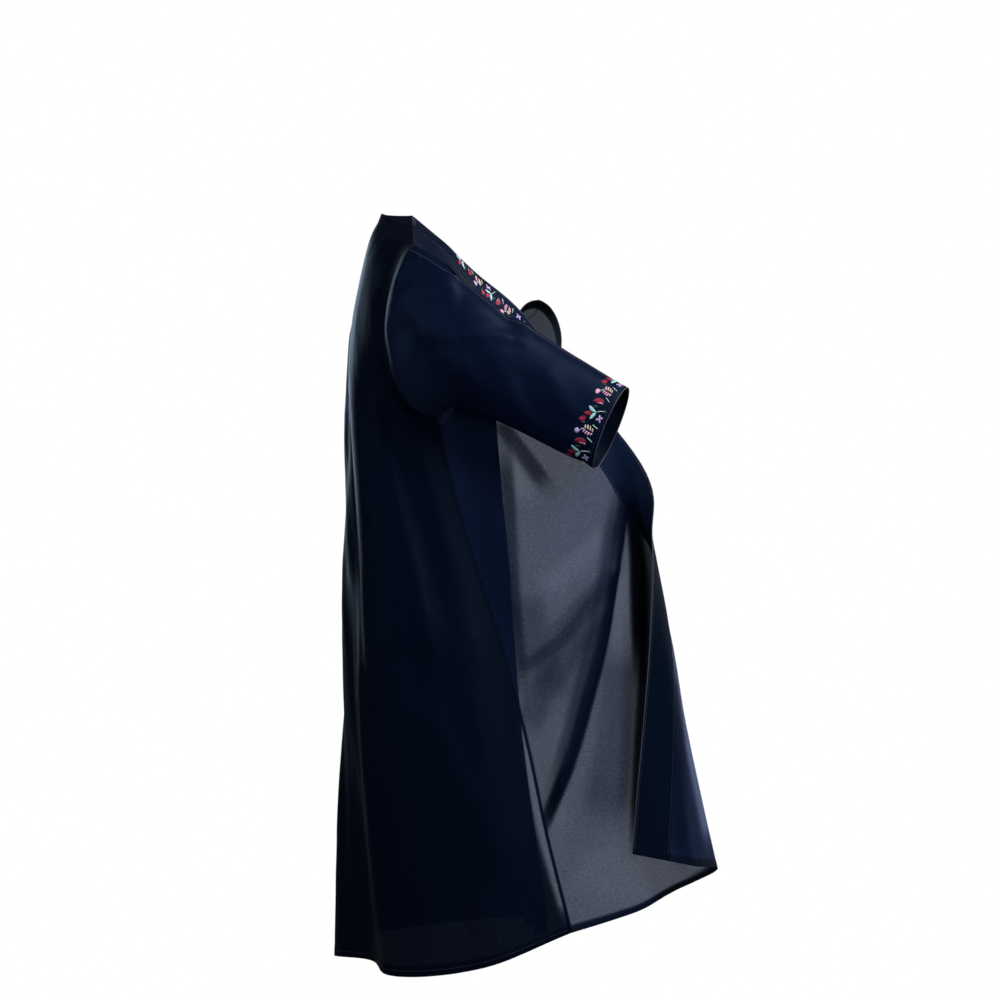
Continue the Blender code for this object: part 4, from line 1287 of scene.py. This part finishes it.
# %% [markdown]
# ## The room, the lights and the camera
#
# The garment is seen against white, from its right side, level with the middle of the cloth and from
# far away, so that it shows little perspective. White behind the cloth is what makes one layer look
# grey. The white is only what the camera sees. The light that falls on the cloth comes from a large
# soft lamp in front and above, weaker bluish ones low in front, at the side and behind, which keep
# its hidden sides from going quite black, a narrow lamp that lights its folds, and a dim room.

# %% Room, lights and camera
scene = bpy.context.scene
scene.view_settings.view_transform = "Standard"
scene.view_settings.look = "None"


def seen_white(tree, kind, dim):
    """White to the camera and dim to everything else."""
    make = Field(tree)
    camera_ray = make.node("ShaderNodeLightPath")
    return make.node(kind, None, {"Color": (1, 1, 1, 1), "Strength": dim + camera_ray * (1 - dim)})


world = bpy.data.worlds.new("white_room")
world.use_nodes = True
world.node_tree.nodes.clear()
seen_white(world.node_tree, "ShaderNodeBackground", 0.10).shown("ShaderNodeOutputWorld")
scene.world = world

FLOOR = -1.449
corners = [(x, y, FLOOR) for x, y in ((-6, -6), (6, -6), (6, 6), (-6, 6))]
floor_mesh = bpy.data.meshes.new("floor")
floor_mesh.from_pydata(corners, [], [(0, 1, 2, 3)])
floor = bpy.data.objects.new("floor", floor_mesh)
scene.collection.objects.link(floor)
floor_paint, make = new_material("white_floor")
seen_white(make.tree, "ShaderNodeEmission", 0.12).shown()
floor_mesh.materials.append(floor_paint)


def lamp(name, place, target, size, watts, colour=(1, 1, 1)):
    """A square lamp that faces target."""
    light = bpy.data.lights.new(name, "AREA")
    light.shape, light.size, light.energy, light.color = "SQUARE", size, watts, colour
    thing = bpy.data.objects.new(name, light)
    thing.location = place
    thing.rotation_euler = (Vector(target) - Vector(place)).to_track_quat("-Z", "Y").to_euler()
    thing.visible_camera = False
    scene.collection.objects.link(thing)


COOL = (0.74, 0.86, 1.0)
lamp("key", (2.6, -2.2, 1.9), (0.1, 0.0, -0.5), 1.6, 220.0)
lamp("fill", (-3.2, -1.6, 0.2), (0.0, 0.0, -0.7), 1.8, 45.0, (0.50, 0.74, 1.0))
lamp("front", (1.6, -4.8, -0.9), (0.15, 0.0, -0.6), 2.0, 72.0, COOL)
lamp("behind", (-1.7, 3.6, 0.2), (0.1, 0.0, -0.6), 1.8, 70.0, (0.55, 0.76, 1.0))
lamp("rim", (2.4, 1.6, 0.4), (0.3, 0.0, -0.7), 0.8, 40.0)

SENSOR, DISTANCE, VIEW_WIDTH = 36.0, 4.0, 1.87
camera_data = bpy.data.cameras.new("camera")
camera_data.sensor_width = SENSOR
camera_data.lens = SENSOR * DISTANCE / VIEW_WIDTH
camera = bpy.data.objects.new("camera", camera_data)
camera.location = (0.159, -DISTANCE, -0.533)
camera.rotation_euler = (math.radians(90), 0, 0)
scene.collection.objects.link(camera)
scene.camera = camera
print("lens: %.1f mm" % camera_data.lens)
